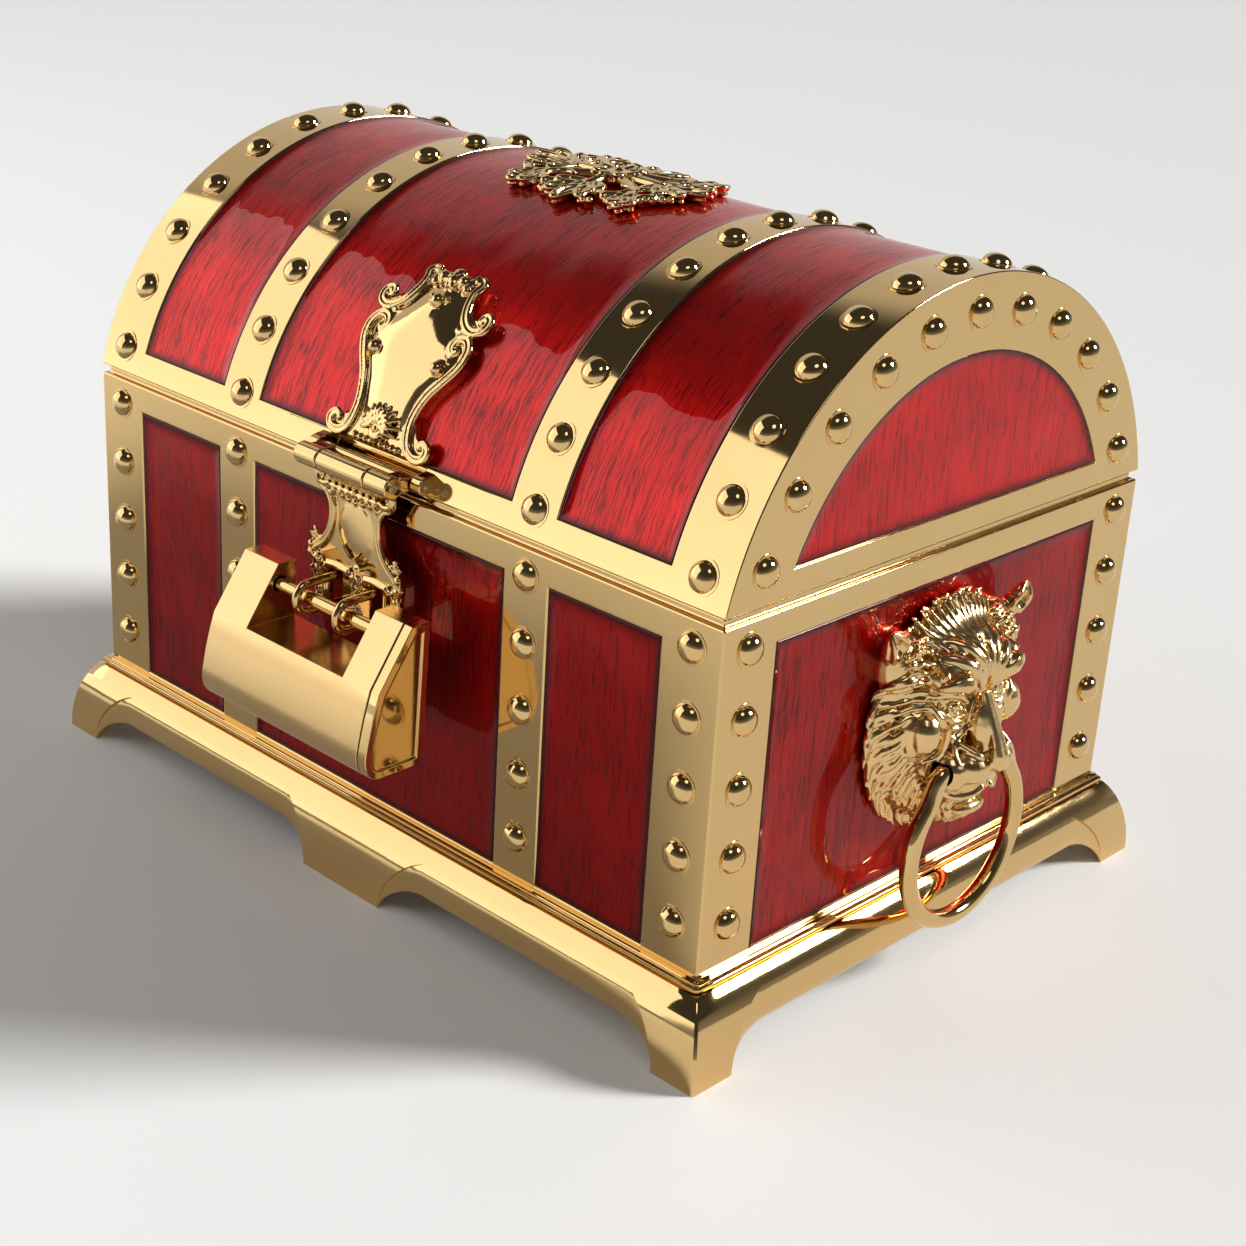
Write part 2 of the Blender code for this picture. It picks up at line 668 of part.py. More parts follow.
def make_lid():
    """The cast barrel lid with bands, rails, recessed fields, domes and hasp lugs."""
    lid = place_object("lid", lid_solid(LID_RADIUS, LID_BOTTOM, -HALF_X, HALF_X), GILT)
    inside = HALF_X - LID_WALL
    inner_radius = LID_RADIUS - LID_WALL
    below = LID_BOTTOM - OVERRUN
    cut(lid, lid_solid(inner_radius, below, -inside, inside), "hollow")
    fields = [
        lid_slice(LID_RADIUS - RECESS, LID_RADIUS + OVERRUN, PANEL_ANGLE, pi - PANEL_ANGLE, low, high)
        for _, low, high in panel_spans()
    ]
    bottom = LID_BOTTOM + LID_RAIL
    radius = LID_RADIUS - END_BORDER
    fields.append(lid_solid(radius, bottom, HALF_X - RECESS, HALF_X + OVERRUN))
    fields.append(lid_solid(radius, bottom, -HALF_X - OVERRUN, RECESS - HALF_X))
    cut(lid, merged(fields), "fields")
    join(lid, merged([dome(frame) for frame in lid_dome_places()]), "domes")
    pocket_low, pocket_high = LID_BOTTOM + POCKET_BOTTOM, bottom - POCKET_TOP
    lug_far = LUG_X + LUG_WIDTH
    root_y = MID_Y - lid_reach(pocket_low) + OVERRUN
    lugs = []
    for low, high in ((LUG_X, lug_far), (-lug_far, -LUG_X)):
        outline = [(root_y, pocket_low), (BACK_PIN_Y, BACK_PIN_Z - LUG_RADIUS)]
        outline += arc(LUG_RADIUS, -pi / 3, pi / 3, ROUND_STEPS // 2, (BACK_PIN_Y, BACK_PIN_Z))
        outline += [(BACK_PIN_Y, BACK_PIN_Z + LUG_RADIUS), (root_y, pocket_high)]
        lugs.append(prism(outline, 0, low, high))
    join(lid, merged(lugs), "hasp_lugs")
    pocket = block(
        (-LUG_X, FRONT - OVERRUN, pocket_low),
        (LUG_X, FRONT + POCKET_DEPTH, pocket_high),
    )
    cut(lid, pocket, "hasp_pocket")
    bore = rod(BACK_PIN + CLEAR, -lug_far - OVERRUN, lug_far + OVERRUN, 0, (0, BACK_PIN_Y, BACK_PIN_Z))
    cut(lid, bore, "back_pin_bore")


def make_lid_enamel():
    """Three wrapped fields over the barrel and a half-round field on each end."""
    gap_angle = CLEAR / LID_RADIUS
    start, end = PANEL_ANGLE + gap_angle, pi - PANEL_ANGLE - gap_angle
    deep, shallow = RECESS - CLEAR, RECESS - CLEAR - ENAMEL
    for name, low, high in panel_spans():
        body = lid_slice(LID_RADIUS - deep, LID_RADIUS - shallow, start, end, low + CLEAR, high - CLEAR)
        place_object(f"enamel_lid_{name}", body, RED_ENAMEL)
    radius = LID_RADIUS - END_BORDER - CLEAR
    bottom = LID_BOTTOM + LID_RAIL + CLEAR
    for name, sign in (("right", 1), ("left", -1)):
        low, high = sorted((sign * (HALF_X - deep), sign * (HALF_X - shallow)))
        place_object(f"enamel_lid_end_{name}", lid_solid(radius, bottom, low, high), RED_ENAMEL)


def make_lid_lining():
    """The velvet lining of the lid."""
    radius = LID_RADIUS - LID_WALL - CLEAR
    length = HALF_X - LID_WALL - CLEAR
    bottom = LID_BOTTOM + CLEAR
    lining = place_object("lid_lining", lid_solid(radius, bottom, -length, length), VELVET)
    below = bottom - OVERRUN
    cut(lining, lid_solid(radius - LINING, below, LINING - length, length - LINING), "inside")


def bent_on_lid(outline, holes, inner, outer):
    """Wrap a flat plate, drawn in X and arc length from the front horizon, on to the lid."""
    bm = bmesh.new()
    rings = [outline] + holes
    for points in rings:
        verts = [bm.verts.new((x, length, inner)) for x, length in points]
        for pair in zip(verts, verts[1:] + verts[:1]):
            bm.edges.new(pair)
    bmesh.ops.triangle_fill(bm, edges=bm.edges, use_beauty=True)
    grown = bmesh.ops.extrude_face_region(bm, geom=bm.faces[:])["geom"]
    moved = [v for v in grown if isinstance(v, bmesh.types.BMVert)]
    bmesh.ops.translate(bm, vec=(0, 0, outer - inner), verts=moved)
    for vert in bm.verts:
        x, length, height = vert.co
        angle = length / LID_RADIUS
        radius = LID_RADIUS + height
        vert.co = (x, MID_Y - radius * cos(angle), LID_AXIS_Z + radius * sin(angle))
    bmesh.ops.recalc_face_normals(bm, faces=bm.faces)
    return bm


def make_cartouche():
    """The shield plate on the lid's front, over the hasp."""
    width_shares = (
        (0.0, 0.84), (0.05, 0.88), (0.10, 0.62), (0.22, 0.50), (0.34, 0.66), (0.46, 0.86), (0.56, 0.97),
        (0.64, 0.90), (0.70, 0.78), (0.76, 0.96), (0.82, 0.92), (0.86, 0.60), (0.92, 0.46), (0.97, 0.50),
        (1.0, 0.30),
    )
    foot = LID_RADIUS * PANEL_ANGLE + CARTOUCHE_FOOT - POCKET_TOP
    right = [(CARTOUCHE_HALF * width, foot + CARTOUCHE_LENGTH * rise) for rise, width in width_shares]
    left = [(-x, length) for x, length in reversed(right)]
    body = bent_on_lid(right + left, [], CLEAR, CLEAR + CARTOUCHE_THICK)
    plate = place_object("cartouche", body, GILT)
    field_rise_share, field_width_share, field_height_share = 0.46, 0.62, 0.27
    middle = (foot + CARTOUCHE_LENGTH * field_rise_share) / LID_RADIUS
    boss = bmesh.new()
    bmesh.ops.create_uvsphere(boss, u_segments=ROUND_STEPS, v_segments=ROUND_STEPS // 2, radius=1)
    size = Vector((
        CARTOUCHE_HALF * field_width_share,
        CARTOUCHE_LENGTH * field_height_share,
        CARTOUCHE_CROWN,
    ))
    bmesh.ops.scale(boss, vec=size, verts=boss.verts)
    radius = LID_RADIUS + CLEAR + CARTOUCHE_THICK
    place = (0, MID_Y - radius * cos(middle), LID_AXIS_Z + radius * sin(middle))
    matrix = Matrix.Translation(place) @ Matrix.Rotation(pi / 2 - middle, 4, "X")
    bmesh.ops.transform(boss, matrix=matrix, verts=boss.verts)
    join(plate, boss, "crown")


def make_crest():
    """The pierced scroll ornament on top of the lid, as one scalloped open plate."""
    scallop_share = 0.10
    quarter_shares = (0.12, 0.35, 0.65, 0.88)
    middle = LID_RADIUS * pi / 2
    count = CREST_LOBES * 4

    def ring(half_x, half_y, wave):
        points = []
        for i in range(count):
            turn = tau * i / count
            swell = 1 + wave * cos(CREST_LOBES * turn)
            points.append((half_x * swell * cos(turn), middle + half_y * swell * sin(turn)))
        return points

    outer_x = CREST_LENGTH / 2 / (1 + scallop_share)
    outer_y = CREST_WIDTH / 2 / (1 + scallop_share)
    outer = ring(outer_x, outer_y, scallop_share)
    inner_x, inner_y = outer_x - CREST_RIM, outer_y - CREST_RIM
    holes = []
    for sx in (-1, 1):
        for sy in (-1, 1):
            corner = [(sx * CREST_BAR / 2, middle + sy * CREST_BAR / 2)]
            for share in quarter_shares:
                turn = pi / 2 * share
                corner.append((sx * inner_x * cos(turn), middle + sy * inner_y * sin(turn)))
            holes.append(corner)
    place_object("lid_crest", bent_on_lid(outer, holes, 0, CREST_THICK), GILT)


def make_hinges():
    """Two rear hinges: a leaf on the tub, a leaf on the lid and a pin each."""
    end = HINGE_LENGTH / 2
    middle = HINGE_MIDDLE / 2
    face = BACK + CLEAR
    axis = (0, HINGE_Y, HINGE_Z)
    for name, centre in (("right", HINGE_X), ("left", -HINGE_X)):
        top = HINGE_Z - LEAF_TO_AXIS
        bore_low, bore_high = centre - end - OVERRUN, centre + end + OVERRUN
        plate = block(
            (centre - end, face, top - BASE_LEAF_HEIGHT),
            (centre + end, face + HINGE_LEAF, top),
        )
        leaf = place_object(f"hinge_base_leaf_{name}", plate, GILT)
        for side, sign in (("outer", 1), ("inner", -1)):
            low, high = sorted((centre + sign * (middle + CLEAR), centre + sign * end))
            knuckle = rod(HINGE_KNUCKLE, low, high, 0, axis)
            web = block((low, face, top - HINGE_LEAF), (high, HINGE_Y, HINGE_Z - HINGE_PIN - CLEAR))
            join(leaf, web, f"web_{side}")
            join(leaf, knuckle, f"knuckle_{side}")
        cut(leaf, rod(HINGE_PIN + CLEAR, bore_low, bore_high, 0, axis), "bore")

        low_z = HINGE_Z + LEAF_TO_AXIS
        high_z = low_z + LID_LEAF_HEIGHT
        rear = [MID_Y + lid_reach(z) + CLEAR for z in (low_z, high_z)]
        outline = [
            (rear[0], low_z), (rear[0] + HINGE_LEAF, low_z),
            (rear[1] + HINGE_LEAF, high_z), (rear[1], high_z),
        ]
        body = prism(outline, 0, centre - end, centre + end)
        leaf = place_object(f"hinge_lid_leaf_{name}", body, GILT)
        web = prism(
            [
                (face, HINGE_Z + HINGE_PIN + CLEAR), (HINGE_Y, HINGE_Z + HINGE_PIN + CLEAR),
                (HINGE_Y, HINGE_Z + HINGE_LEAF + HINGE_PIN), (rear[0] + HINGE_LEAF, low_z + HINGE_LEAF),
                (rear[0] + CLEAR, low_z + HINGE_LEAF), (face, low_z - HINGE_LEAF),
            ],
            0, centre - middle, centre + middle,
        )
        join(leaf, web, "web")
        knuckle = rod(HINGE_KNUCKLE, centre - middle, centre + middle, 0, axis)
        join(leaf, knuckle, "knuckle")
        cut(leaf, rod(HINGE_PIN + CLEAR, bore_low, bore_high, 0, axis), "bore")
        move_origin(leaf, (centre, HINGE_Y, HINGE_Z))

        pin = rod(HINGE_PIN, centre - end, centre + end, 0, axis)
        place_object(f"hinge_pin_{name}", pin, STEEL)


def make_hasp_link():
    """The short link between the lid's lugs and the strap, with its two pins."""
    half = LUG_X - CLEAR
    back = (0, BACK_PIN_Y, BACK_PIN_Z)
    front = (0, FRONT_PIN_Y, BACK_PIN_Z)
    link = place_object("hasp_link", rod(BACK_BARREL, -half, half, 0, back), GILT)
    inner = STRAP_KNUCKLE / 2 + CLEAR
    for side, sign in (("right", 1), ("left", -1)):
        low, high = sorted((sign * inner, sign * half))
        join(link, rod(LINK_KNUCKLE, low, high, 0, front), f"knuckle_{side}")
        low, high = sorted((sign * (half - LINK_ARM), sign * half))
        rise = LINK_ARM_THICK / 2
        arm = prism(
            [
                (BACK_PIN_Y, BACK_PIN_Z - BACK_BARREL), (BACK_PIN_Y, BACK_PIN_Z + BACK_BARREL),
                (FRONT_PIN_Y, BACK_PIN_Z + rise), (FRONT_PIN_Y, BACK_PIN_Z - rise),
            ],
            0, low, high,
        )
        join(link, arm, f"arm_{side}")
    bores = [
        rod(BACK_PIN + CLEAR, -half - OVERRUN, half + OVERRUN, 0, back),
        rod(FRONT_PIN + CLEAR, -half - OVERRUN, half + OVERRUN, 0, front),
    ]
    cut(link, merged(bores), "bores")
    move_origin(link, back)
    reach = LUG_X + LUG_WIDTH
    place_object("hasp_back_pin", rod(BACK_PIN, -reach, reach, 0, back), STEEL)
    place_object("hasp_front_pin", rod(FRONT_PIN, -half, half, 0, front), STEEL)


def make_hasp_strap():
    """The scrolled strap that hangs over the staple loops."""
    front = (0, FRONT_PIN_Y, BACK_PIN_Z)
    half = STRAP_KNUCKLE / 2
    width_shares = (
        (0.09, 0.46), (0.13, 0.50), (0.17, 0.76), (0.21, 0.60), (0.29, 0.48), (0.42, 0.56), (0.54, 0.80),
        (0.60, 1.0), (0.68, 0.95), (0.80, 0.90), (0.96, 0.86), (1.0, 0.82),
    )
    right = [(STRAP_HALF * width, BACK_PIN_Z - STRAP_LENGTH * drop) for drop, width in width_shares]
    outline = right + [(-x, z) for x, z in reversed(right)]
    near, far = FRONT - STRAP_STAND, FRONT - STRAP_STAND - STRAP_THICK
    strap = place_object("hasp_strap", prism(outline, 1, far, near), GILT)
    join(strap, rod(LINK_KNUCKLE, -half, half, 0, front), "knuckle")
    neck_top, neck_foot = BACK_PIN_Z - FRONT_PIN, right[1][1]
    neck = prism(
        [
            (FRONT_PIN_Y - LINK_KNUCKLE / 2, neck_top), (FRONT_PIN_Y + LINK_KNUCKLE / 2, neck_top),
            (near, neck_foot), (far, neck_foot),
        ],
        0, -right[0][0], right[0][0],
    )
    join(strap, neck, "neck")
    cut(strap, rod(FRONT_PIN + CLEAR, -half - OVERRUN, half + OVERRUN, 0, front), "bore")
    window_top = BAR_HEIGHT + LOOP_RADIUS + CLEAR
    window_foot = BAR_HEIGHT - LOOP_RADIUS - WINDOW_FOOT_MARGIN
    slit_foot = STRAP_TIP - OVERRUN
    slot = LOOP_THICK / 2 + CLEAR + CLEAR
    inner = LOOP_X - LOOP_THICK / 2 - WINDOW_INNER_MARGIN
    outer = LOOP_X + LOOP_THICK / 2 + WINDOW_OUTER_MARGIN
    openings = []
    for sign in (-1, 1):
        low, high = sorted((sign * inner, sign * outer))
        loop_x = sign * LOOP_X
        outline = [
            (low, window_foot), (loop_x - slot, window_foot),
            (loop_x - slot, slit_foot), (loop_x + slot, slit_foot),
            (loop_x + slot, window_foot), (high, window_foot),
            (high, window_top), (low, window_top),
        ]
        openings.append(prism(outline, 1, far - OVERRUN, near + OVERRUN))
    cut(strap, merged(openings), "windows")
    move_origin(strap, front)


def stadium(radius, back, front):
    """A loop's outline in Y and Z: round in front of the tub, straight to the back."""
    points = arc(radius, -pi / 2, pi / 2, ROUND_STEPS // 2, (front, BAR_HEIGHT))
    return points + [(back, BAR_HEIGHT + radius), (back, BAR_HEIGHT - radius)]


def make_staple_loops():
    """The two eyes on the tub that the bar passes through."""
    for name, x in (("right", LOOP_X), ("left", -LOOP_X)):
        low, high = x - LOOP_THICK / 2, x + LOOP_THICK / 2
        plate = prism(stadium(LOOP_RADIUS, FRONT, BAR_Y), 0, low, high)
        loop = place_object(f"staple_loop_{name}", plate, GILT)
        eye = stadium(LOOP_EYE, BAR_Y + LOOP_EYE_LENGTH, BAR_Y)
        cut(loop, prism(eye, 0, low - OVERRUN, high + OVERRUN), "eye")
        shank = rod(LOOP_SHANK, FRONT - LOOP_THICK, FRONT + LOOP_SHANK_LENGTH, 1, (x, 0, BAR_HEIGHT))
        join(loop, shank, "shank")


def lock_outline():
    """Cross-section of the padlock in Y and Z."""
    points = [
        (LOCK_TOP_BACK, LOCK_TOP_RISE),
        (LOCK_TOP_FRONT, LOCK_TOP_RISE),
        (-LOCK_KINK_REACH, -LOCK_KINK_DROP),
        (-LOCK_LIP_REACH, -LOCK_LIP_DROP),
        (-LOCK_BASE_REACH, -LOCK_BASE_DROP),
        (LOCK_BASE_BACK, -LOCK_BASE_DROP),
    ]
    return [(BAR_Y + y, BAR_HEIGHT + z) for y, z in points]


def channel_box(low, high, grow):
    """The stem's channel in the padlock, or what fits in it when grow is negative."""
    back = BAR_Y + CHANNEL_BACK
    top = BAR_HEIGHT - CHANNEL_TOP_DROP
    return block(
        (low, back - CHANNEL_DEPTH - grow, top - CHANNEL_HEIGHT - grow),
        (high, back + grow, top + grow),
    )


def make_padlock():
    """The hanging bar padlock: body, sliding shackle and the shackle's spring."""
    inner_end = LOCK_HALF - LOCK_PLATE - CLEAR
    casting = prism(lock_outline(), 0, -LOCK_HALF, inner_end)
    body = place_object("padlock_body", casting, GILT)
    notch = block(
        (-LOCK_NOTCH_HALF, BAR_Y - LOCK_LIP_REACH - OVERRUN, BAR_HEIGHT - LOCK_NOTCH_DROP),
        (LOCK_NOTCH_HALF, FRONT, BAR_HEIGHT + LOCK_TOP_RISE + OVERRUN),
    )
    cut(body, notch, "notch")
    tail = LOCK_NOTCH_HALF + BAR_TAIL
    bore = rod(BAR_RADIUS + CLEAR, -tail - CLEAR, inner_end + OVERRUN, 0, (0, BAR_Y, BAR_HEIGHT))
    cut(body, bore, "bar_bore")
    cut(body, channel_box(CHANNEL_END - LOCK_HALF, inner_end + OVERRUN, 0), "channel")
    move_origin(body, (0, BAR_Y, BAR_HEIGHT))

    plate_low = LOCK_HALF - LOCK_PLATE
    plate = prism(lock_outline(), 0, plate_low, LOCK_HALF)
    shackle = place_object("padlock_shackle", plate, GILT)
    inside_plate = LOCK_HALF - LOCK_PLATE / 2
    join(shackle, rod(BAR_RADIUS, -tail, inside_plate, 0, (0, BAR_Y, BAR_HEIGHT)), "bar")
    stem_y = BAR_Y + CHANNEL_BACK - CHANNEL_DEPTH / 2
    stem_z = BAR_HEIGHT - CHANNEL_TOP_DROP - CHANNEL_HEIGHT / 2
    stem_end = CHANNEL_END + STEM_SHORT - LOCK_HALF
    stem = block(
        (stem_end, stem_y - STEM_THICK / 2, stem_z - STEM_HEIGHT / 2),
        (inside_plate, stem_y + STEM_THICK / 2, stem_z + STEM_HEIGHT / 2),
    )
    join(shackle, stem, "stem")
    move_origin(shackle, (0, BAR_Y, BAR_HEIGHT))

    side = stem_y - STEM_THICK / 2 - CLEAR
    rise = STEM_HEIGHT / 2
    leaf = prism(
        [
            (stem_end, side), (stem_end, side - SPRING_THICK),
            (stem_end + SPRING_LENGTH, side - SPRING_SPREAD),
            (stem_end + SPRING_LENGTH, side - SPRING_SPREAD + SPRING_THICK),
        ],
        2, stem_z - rise, stem_z + rise,
    )
    place_object("padlock_spring", leaf, STEEL)


def ellipsoid(size, place, sides=ROUND_STEPS, turn_axis="Z"):
    """A faceted ellipsoid with the given half sizes; turned about Y its poles lie on X."""
    bm = bmesh.new()
    turn = Matrix.Rotation(0 if turn_axis == "Z" else pi / 2, 4, turn_axis)
    rings = min(sides // 2 + 1, ROUND_STEPS)
    bmesh.ops.create_uvsphere(bm, u_segments=sides, v_segments=rings, radius=1, matrix=turn)
    bmesh.ops.scale(bm, vec=size, verts=bm.verts)
    bmesh.ops.translate(bm, vec=place, verts=bm.verts)
    return bm


def ring_passage(sign):
    """The waisted bore through the muzzle, which the ring's top sweeps as it turns."""
    waist = RING_WIRE + CLEAR
    stations = spread(PASSAGE_STEPS + 1, -MUZZLE_HALF - OVERRUN, MUZZLE_HALF + OVERRUN)
    profile = [(0, stations[0])]
    for y in stations:
        profile.append((waist + RING_RADIUS - sqrt(RING_RADIUS ** 2 - y ** 2), y))
    profile.append((0, stations[-1]))
    place = Matrix.Translation((sign * RING_PIVOT_X, MID_Y, RING_PIVOT_Z))
    return turned(profile, place @ Matrix.Rotation(-pi / 2, 4, "X"))


def mane(place):
    """The mane as a flattened dome whose rim is drawn in and out into locks."""
    lock_share = 0.05
    bm = ellipsoid((HEAD_DEPTH, HEAD_WIDTH / 2, HEAD_HEIGHT / 2), (0, 0, 0), MANE_LOCKS * 2, "Y")
    for vert in bm.verts:
        turn = atan2(vert.co.z, vert.co.y)
        swell = 1 + lock_share * cos(MANE_LOCKS * turn)
        vert.co.y *= swell
        vert.co.z *= swell
    bmesh.ops.translate(bm, vec=place, verts=bm.verts)
    return bm


def make_lion(name, sign):
    """A lion's head: flat-backed mane, face, brows, nose, cheeks, muzzle, chin, ears and a stud."""
    half_w, half_h = HEAD_WIDTH / 2, HEAD_HEIGHT / 2
    centre = HEAD_CENTRE_Z
    # Each feature: reach at its tip, half width and half height, place across and up, as shares
    face_shares = (1.0, 0.50, 0.70, 0.0, -0.08)
    brow_shares = (1.0, 0.24, 0.10, 0.24, 0.27)
    nose_shares = (1.0, 0.13, 0.34, 0.0, 0.06)
    cheek_shares = (1.0, 0.22, 0.20, 0.36, -0.13)
    chin_shares = (1.0, 0.26, 0.21, 0.0, -0.68)
    ear_up_share, ear_out_share = 0.74, 0.74

    def at(reach, y, z):
        return (sign * (HALF_X + reach), MID_Y + y, centre + z)

    def feature(reach, shares, side=1):
        depth, wide, high, out, up = shares
        size = (reach * depth / 2, half_w * wide, half_h * high)
        return ellipsoid(size, at(size[0], side * half_w * out, half_h * up))

    head = place_object(f"lion_head_{name}", mane(at(0, 0, 0)), GILT)
    join(head, feature(FACE_REACH, face_shares), "face")
    join(head, feature(NOSE_REACH, nose_shares), "nose")
    join(head, feature(CHIN_REACH, chin_shares), "chin")
    for label, side in (("near", -1), ("far", 1)):
        join(head, feature(CHEEK_REACH, cheek_shares, side), f"cheek_{label}")
        join(head, feature(BROW_REACH, brow_shares, side), f"brow_{label}")
    half_reach = MUZZLE_REACH / 2
    muzzle_size = (half_reach, MUZZLE_HALF, MUZZLE_HALF)
    join(head, ellipsoid(muzzle_size, at(half_reach, 0, RING_WIRE - RING_PIVOT_DROP)), "muzzle")
    ear_size = (EAR_REACH, EAR_RADIUS, EAR_RADIUS)
    ears = [
        ellipsoid(ear_size, at(0, side * half_w * ear_out_share, half_h * ear_up_share), EAR_SIDES)
        for side in (-1, 1)
    ]
    join(head, merged(ears), "ears")
    behind = sorted((sign * HALF_X, sign * (HALF_X - HEAD_HEIGHT)))
    backing = block(
        (behind[0], MID_Y - HEAD_WIDTH, centre - HEAD_HEIGHT),
        (behind[1], MID_Y + HEAD_WIDTH, centre + HEAD_HEIGHT),
    )
    cut(head, backing, "flat_back")
    low, high = sorted((sign * (HALF_X - HEAD_STUD_LENGTH), sign * (HALF_X + OVERRUN)))
    join(head, rod(HEAD_STUD, low, high, 0, (0, MID_Y, centre)), "stud")
    cut(head, ring_passage(sign), "ring_passage")


def make_ring(name, sign):
    """A ring pull whose top lies in the lion's mouth."""
    bm = bmesh.new()
    upright = Matrix.Translation((0, 0, -RING_RADIUS)) @ Matrix.Rotation(pi / 2, 4, "X")
    bmesh.ops.create_circle(bm, cap_ends=False, segments=WIRE_SIDES, radius=RING_WIRE, matrix=upright)
    bmesh.ops.spin(bm, geom=bm.verts[:] + bm.edges[:], cent=(0, 0, 0), axis=(1, 0, 0), angle=tau,
                   steps=RING_STEPS, use_merge=True)
    bmesh.ops.remove_doubles(bm, verts=bm.verts, dist=MERGE)
    place = (sign * RING_PIVOT_X, MID_Y, RING_PIVOT_Z)
    bmesh.ops.translate(bm, vec=(place[0], place[1], place[2] - RING_RADIUS), verts=bm.verts)
    ring = place_object(f"ring_pull_{name}", bm, GILT)
    move_origin(ring, place)


def build():
    """Make every piece of the chest."""
    clear_scene()
    make_plinth()
    make_base_pad()
    make_screws()
    make_tub()
    make_tub_enamel()
    make_tub_lining()
    make_lid()
    make_lid_enamel()
    make_lid_lining()
    make_cartouche()
    make_crest()
    make_hinges()
    make_hasp_link()
    make_hasp_strap()
    make_staple_loops()
    make_padlock()
    for name, sign in (("right", 1), ("left", -1)):
        make_lion(name, sign)
        make_ring(name, sign)


build()
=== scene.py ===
# %% [markdown]
# # A gilt and red enamel treasure chest
# The real object is a table-top trinket chest. Its frame of posts, rails and bands is cast
# metal, plated pale gold and polished like a mirror. Clear red enamel fills the sunk fields
# between them. This notebook makes every visible surface of it in Blender, one piece or one
# finish at a time, around a fixed frame that already says where each piece sits and how it
# moves.

import json
from math import asin, atan2, cos, exp, hypot, pi, radians, sin, sqrt, tau

import bmesh
import bpy
from bmesh.types import BMEdge, BMFace, BMVert
from mathutils import Matrix, Vector, noise


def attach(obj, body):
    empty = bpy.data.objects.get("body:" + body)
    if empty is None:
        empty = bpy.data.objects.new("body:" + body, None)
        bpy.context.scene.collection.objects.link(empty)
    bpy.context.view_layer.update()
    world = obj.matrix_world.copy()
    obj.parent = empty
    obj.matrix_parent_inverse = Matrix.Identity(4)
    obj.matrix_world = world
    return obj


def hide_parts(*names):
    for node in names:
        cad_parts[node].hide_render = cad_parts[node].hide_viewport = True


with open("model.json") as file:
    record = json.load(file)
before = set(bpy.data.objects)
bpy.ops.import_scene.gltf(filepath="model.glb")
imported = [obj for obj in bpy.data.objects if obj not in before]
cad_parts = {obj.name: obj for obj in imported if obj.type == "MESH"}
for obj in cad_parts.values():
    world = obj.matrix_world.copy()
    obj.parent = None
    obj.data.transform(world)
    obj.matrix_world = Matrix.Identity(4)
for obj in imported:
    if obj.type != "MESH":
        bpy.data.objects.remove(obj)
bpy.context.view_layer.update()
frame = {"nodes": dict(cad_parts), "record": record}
print("frame loaded with", len(frame["nodes"]), "nodes")

# %% [markdown]
# ## Measures
# All lengths are in metres, so a millimetre gets a name of its own. The barrel lid is part of
# a cylinder: its radius and the height of its axis follow from how deep the chest is and how
# far the lid rises, by the sagitta formula. Working them out keeps every curved piece on the
# same arc.

# %% Measures of the chest
MM = 0.001
HALF_X = 86.0 * MM
HALF_Y = 60.25 * MM
MID_Y = 7.1 * MM
FRONT = MID_Y - HALF_Y
BACK = MID_Y + HALF_Y
TUB_BOTTOM = 17.2 * MM
TUB_TOP = 81.0 * MM
LID_BOTTOM = 82.8 * MM
LID_RISE = 47.2 * MM
LID_RADIUS = (HALF_Y ** 2 + LID_RISE ** 2) / (2 * LID_RISE)
LID_AXIS_Z = LID_BOTTOM + LID_RISE - LID_RADIUS
CORNER_POST = 13.5 * MM
MID_BAND = 11.2 * MM
MID_BAND_X = 40.7 * MM
TOP_RAIL = 5.6 * MM
LID_RAIL = 4.9 * MM
END_BORDER = 13.8 * MM
RECESS = 1.5 * MM
print("lid radius", round(LID_RADIUS / MM, 2), "mm, axis at", round(LID_AXIS_Z / MM, 2), "mm")


def lid_angle(height, radius=LID_RADIUS):
    """Angle on the lid's arc, counted up from the front horizon, of a height."""
    return asin((height - LID_AXIS_Z) / radius)


def on_arc(x, turn, radius=LID_RADIUS):
    """A point of the barrel: X, the turn from the front horizon and the distance to the axis."""
    return Vector((x, MID_Y - radius * cos(turn), LID_AXIS_Z + radius * sin(turn)))


def on_lid(x, length, height):
    """The same from an arc length instead of a turn, and a height above the surface."""
    return on_arc(x, length / LID_RADIUS, LID_RADIUS + height)


SPANS = (
    ("left", -HALF_X + CORNER_POST, -MID_BAND_X - MID_BAND / 2),
    ("centre", -MID_BAND_X + MID_BAND / 2, MID_BAND_X - MID_BAND / 2),
    ("right", MID_BAND_X + MID_BAND / 2, HALF_X - CORNER_POST),
)
FIELD_EDGES = [edge for _, low, high in SPANS for edge in (low, high)]
PANEL_ANGLE = lid_angle(LID_BOTTOM + LID_RAIL)
FIELD_TOP = TUB_TOP - TOP_RAIL
FIELD_FOOT = TUB_BOTTOM + 0.5 * MM

# %% [markdown]
# ## Camera
# The picture was taken from the front right and a little above, with a slight roll. The camera
# is placed by its own position and three angles, which is easier to tune against a photograph
# than aiming it at a target.

# %% Camera
CAMERA_PLACE = Vector((291.3, -299.1, 217.1)) * MM
CAMERA_AZIMUTH = radians(42.74)
CAMERA_ELEVATION = radians(22.98)
CAMERA_ROLL = radians(3.54)
FOCAL_PIXELS = 2209.6
PHOTO_WIDTH = 1246
SENSOR = 36.0


def scene_object(name, data):
    """A new object in the scene."""
    item = bpy.data.objects.new(name, data)
    bpy.context.scene.collection.objects.link(item)
    return item


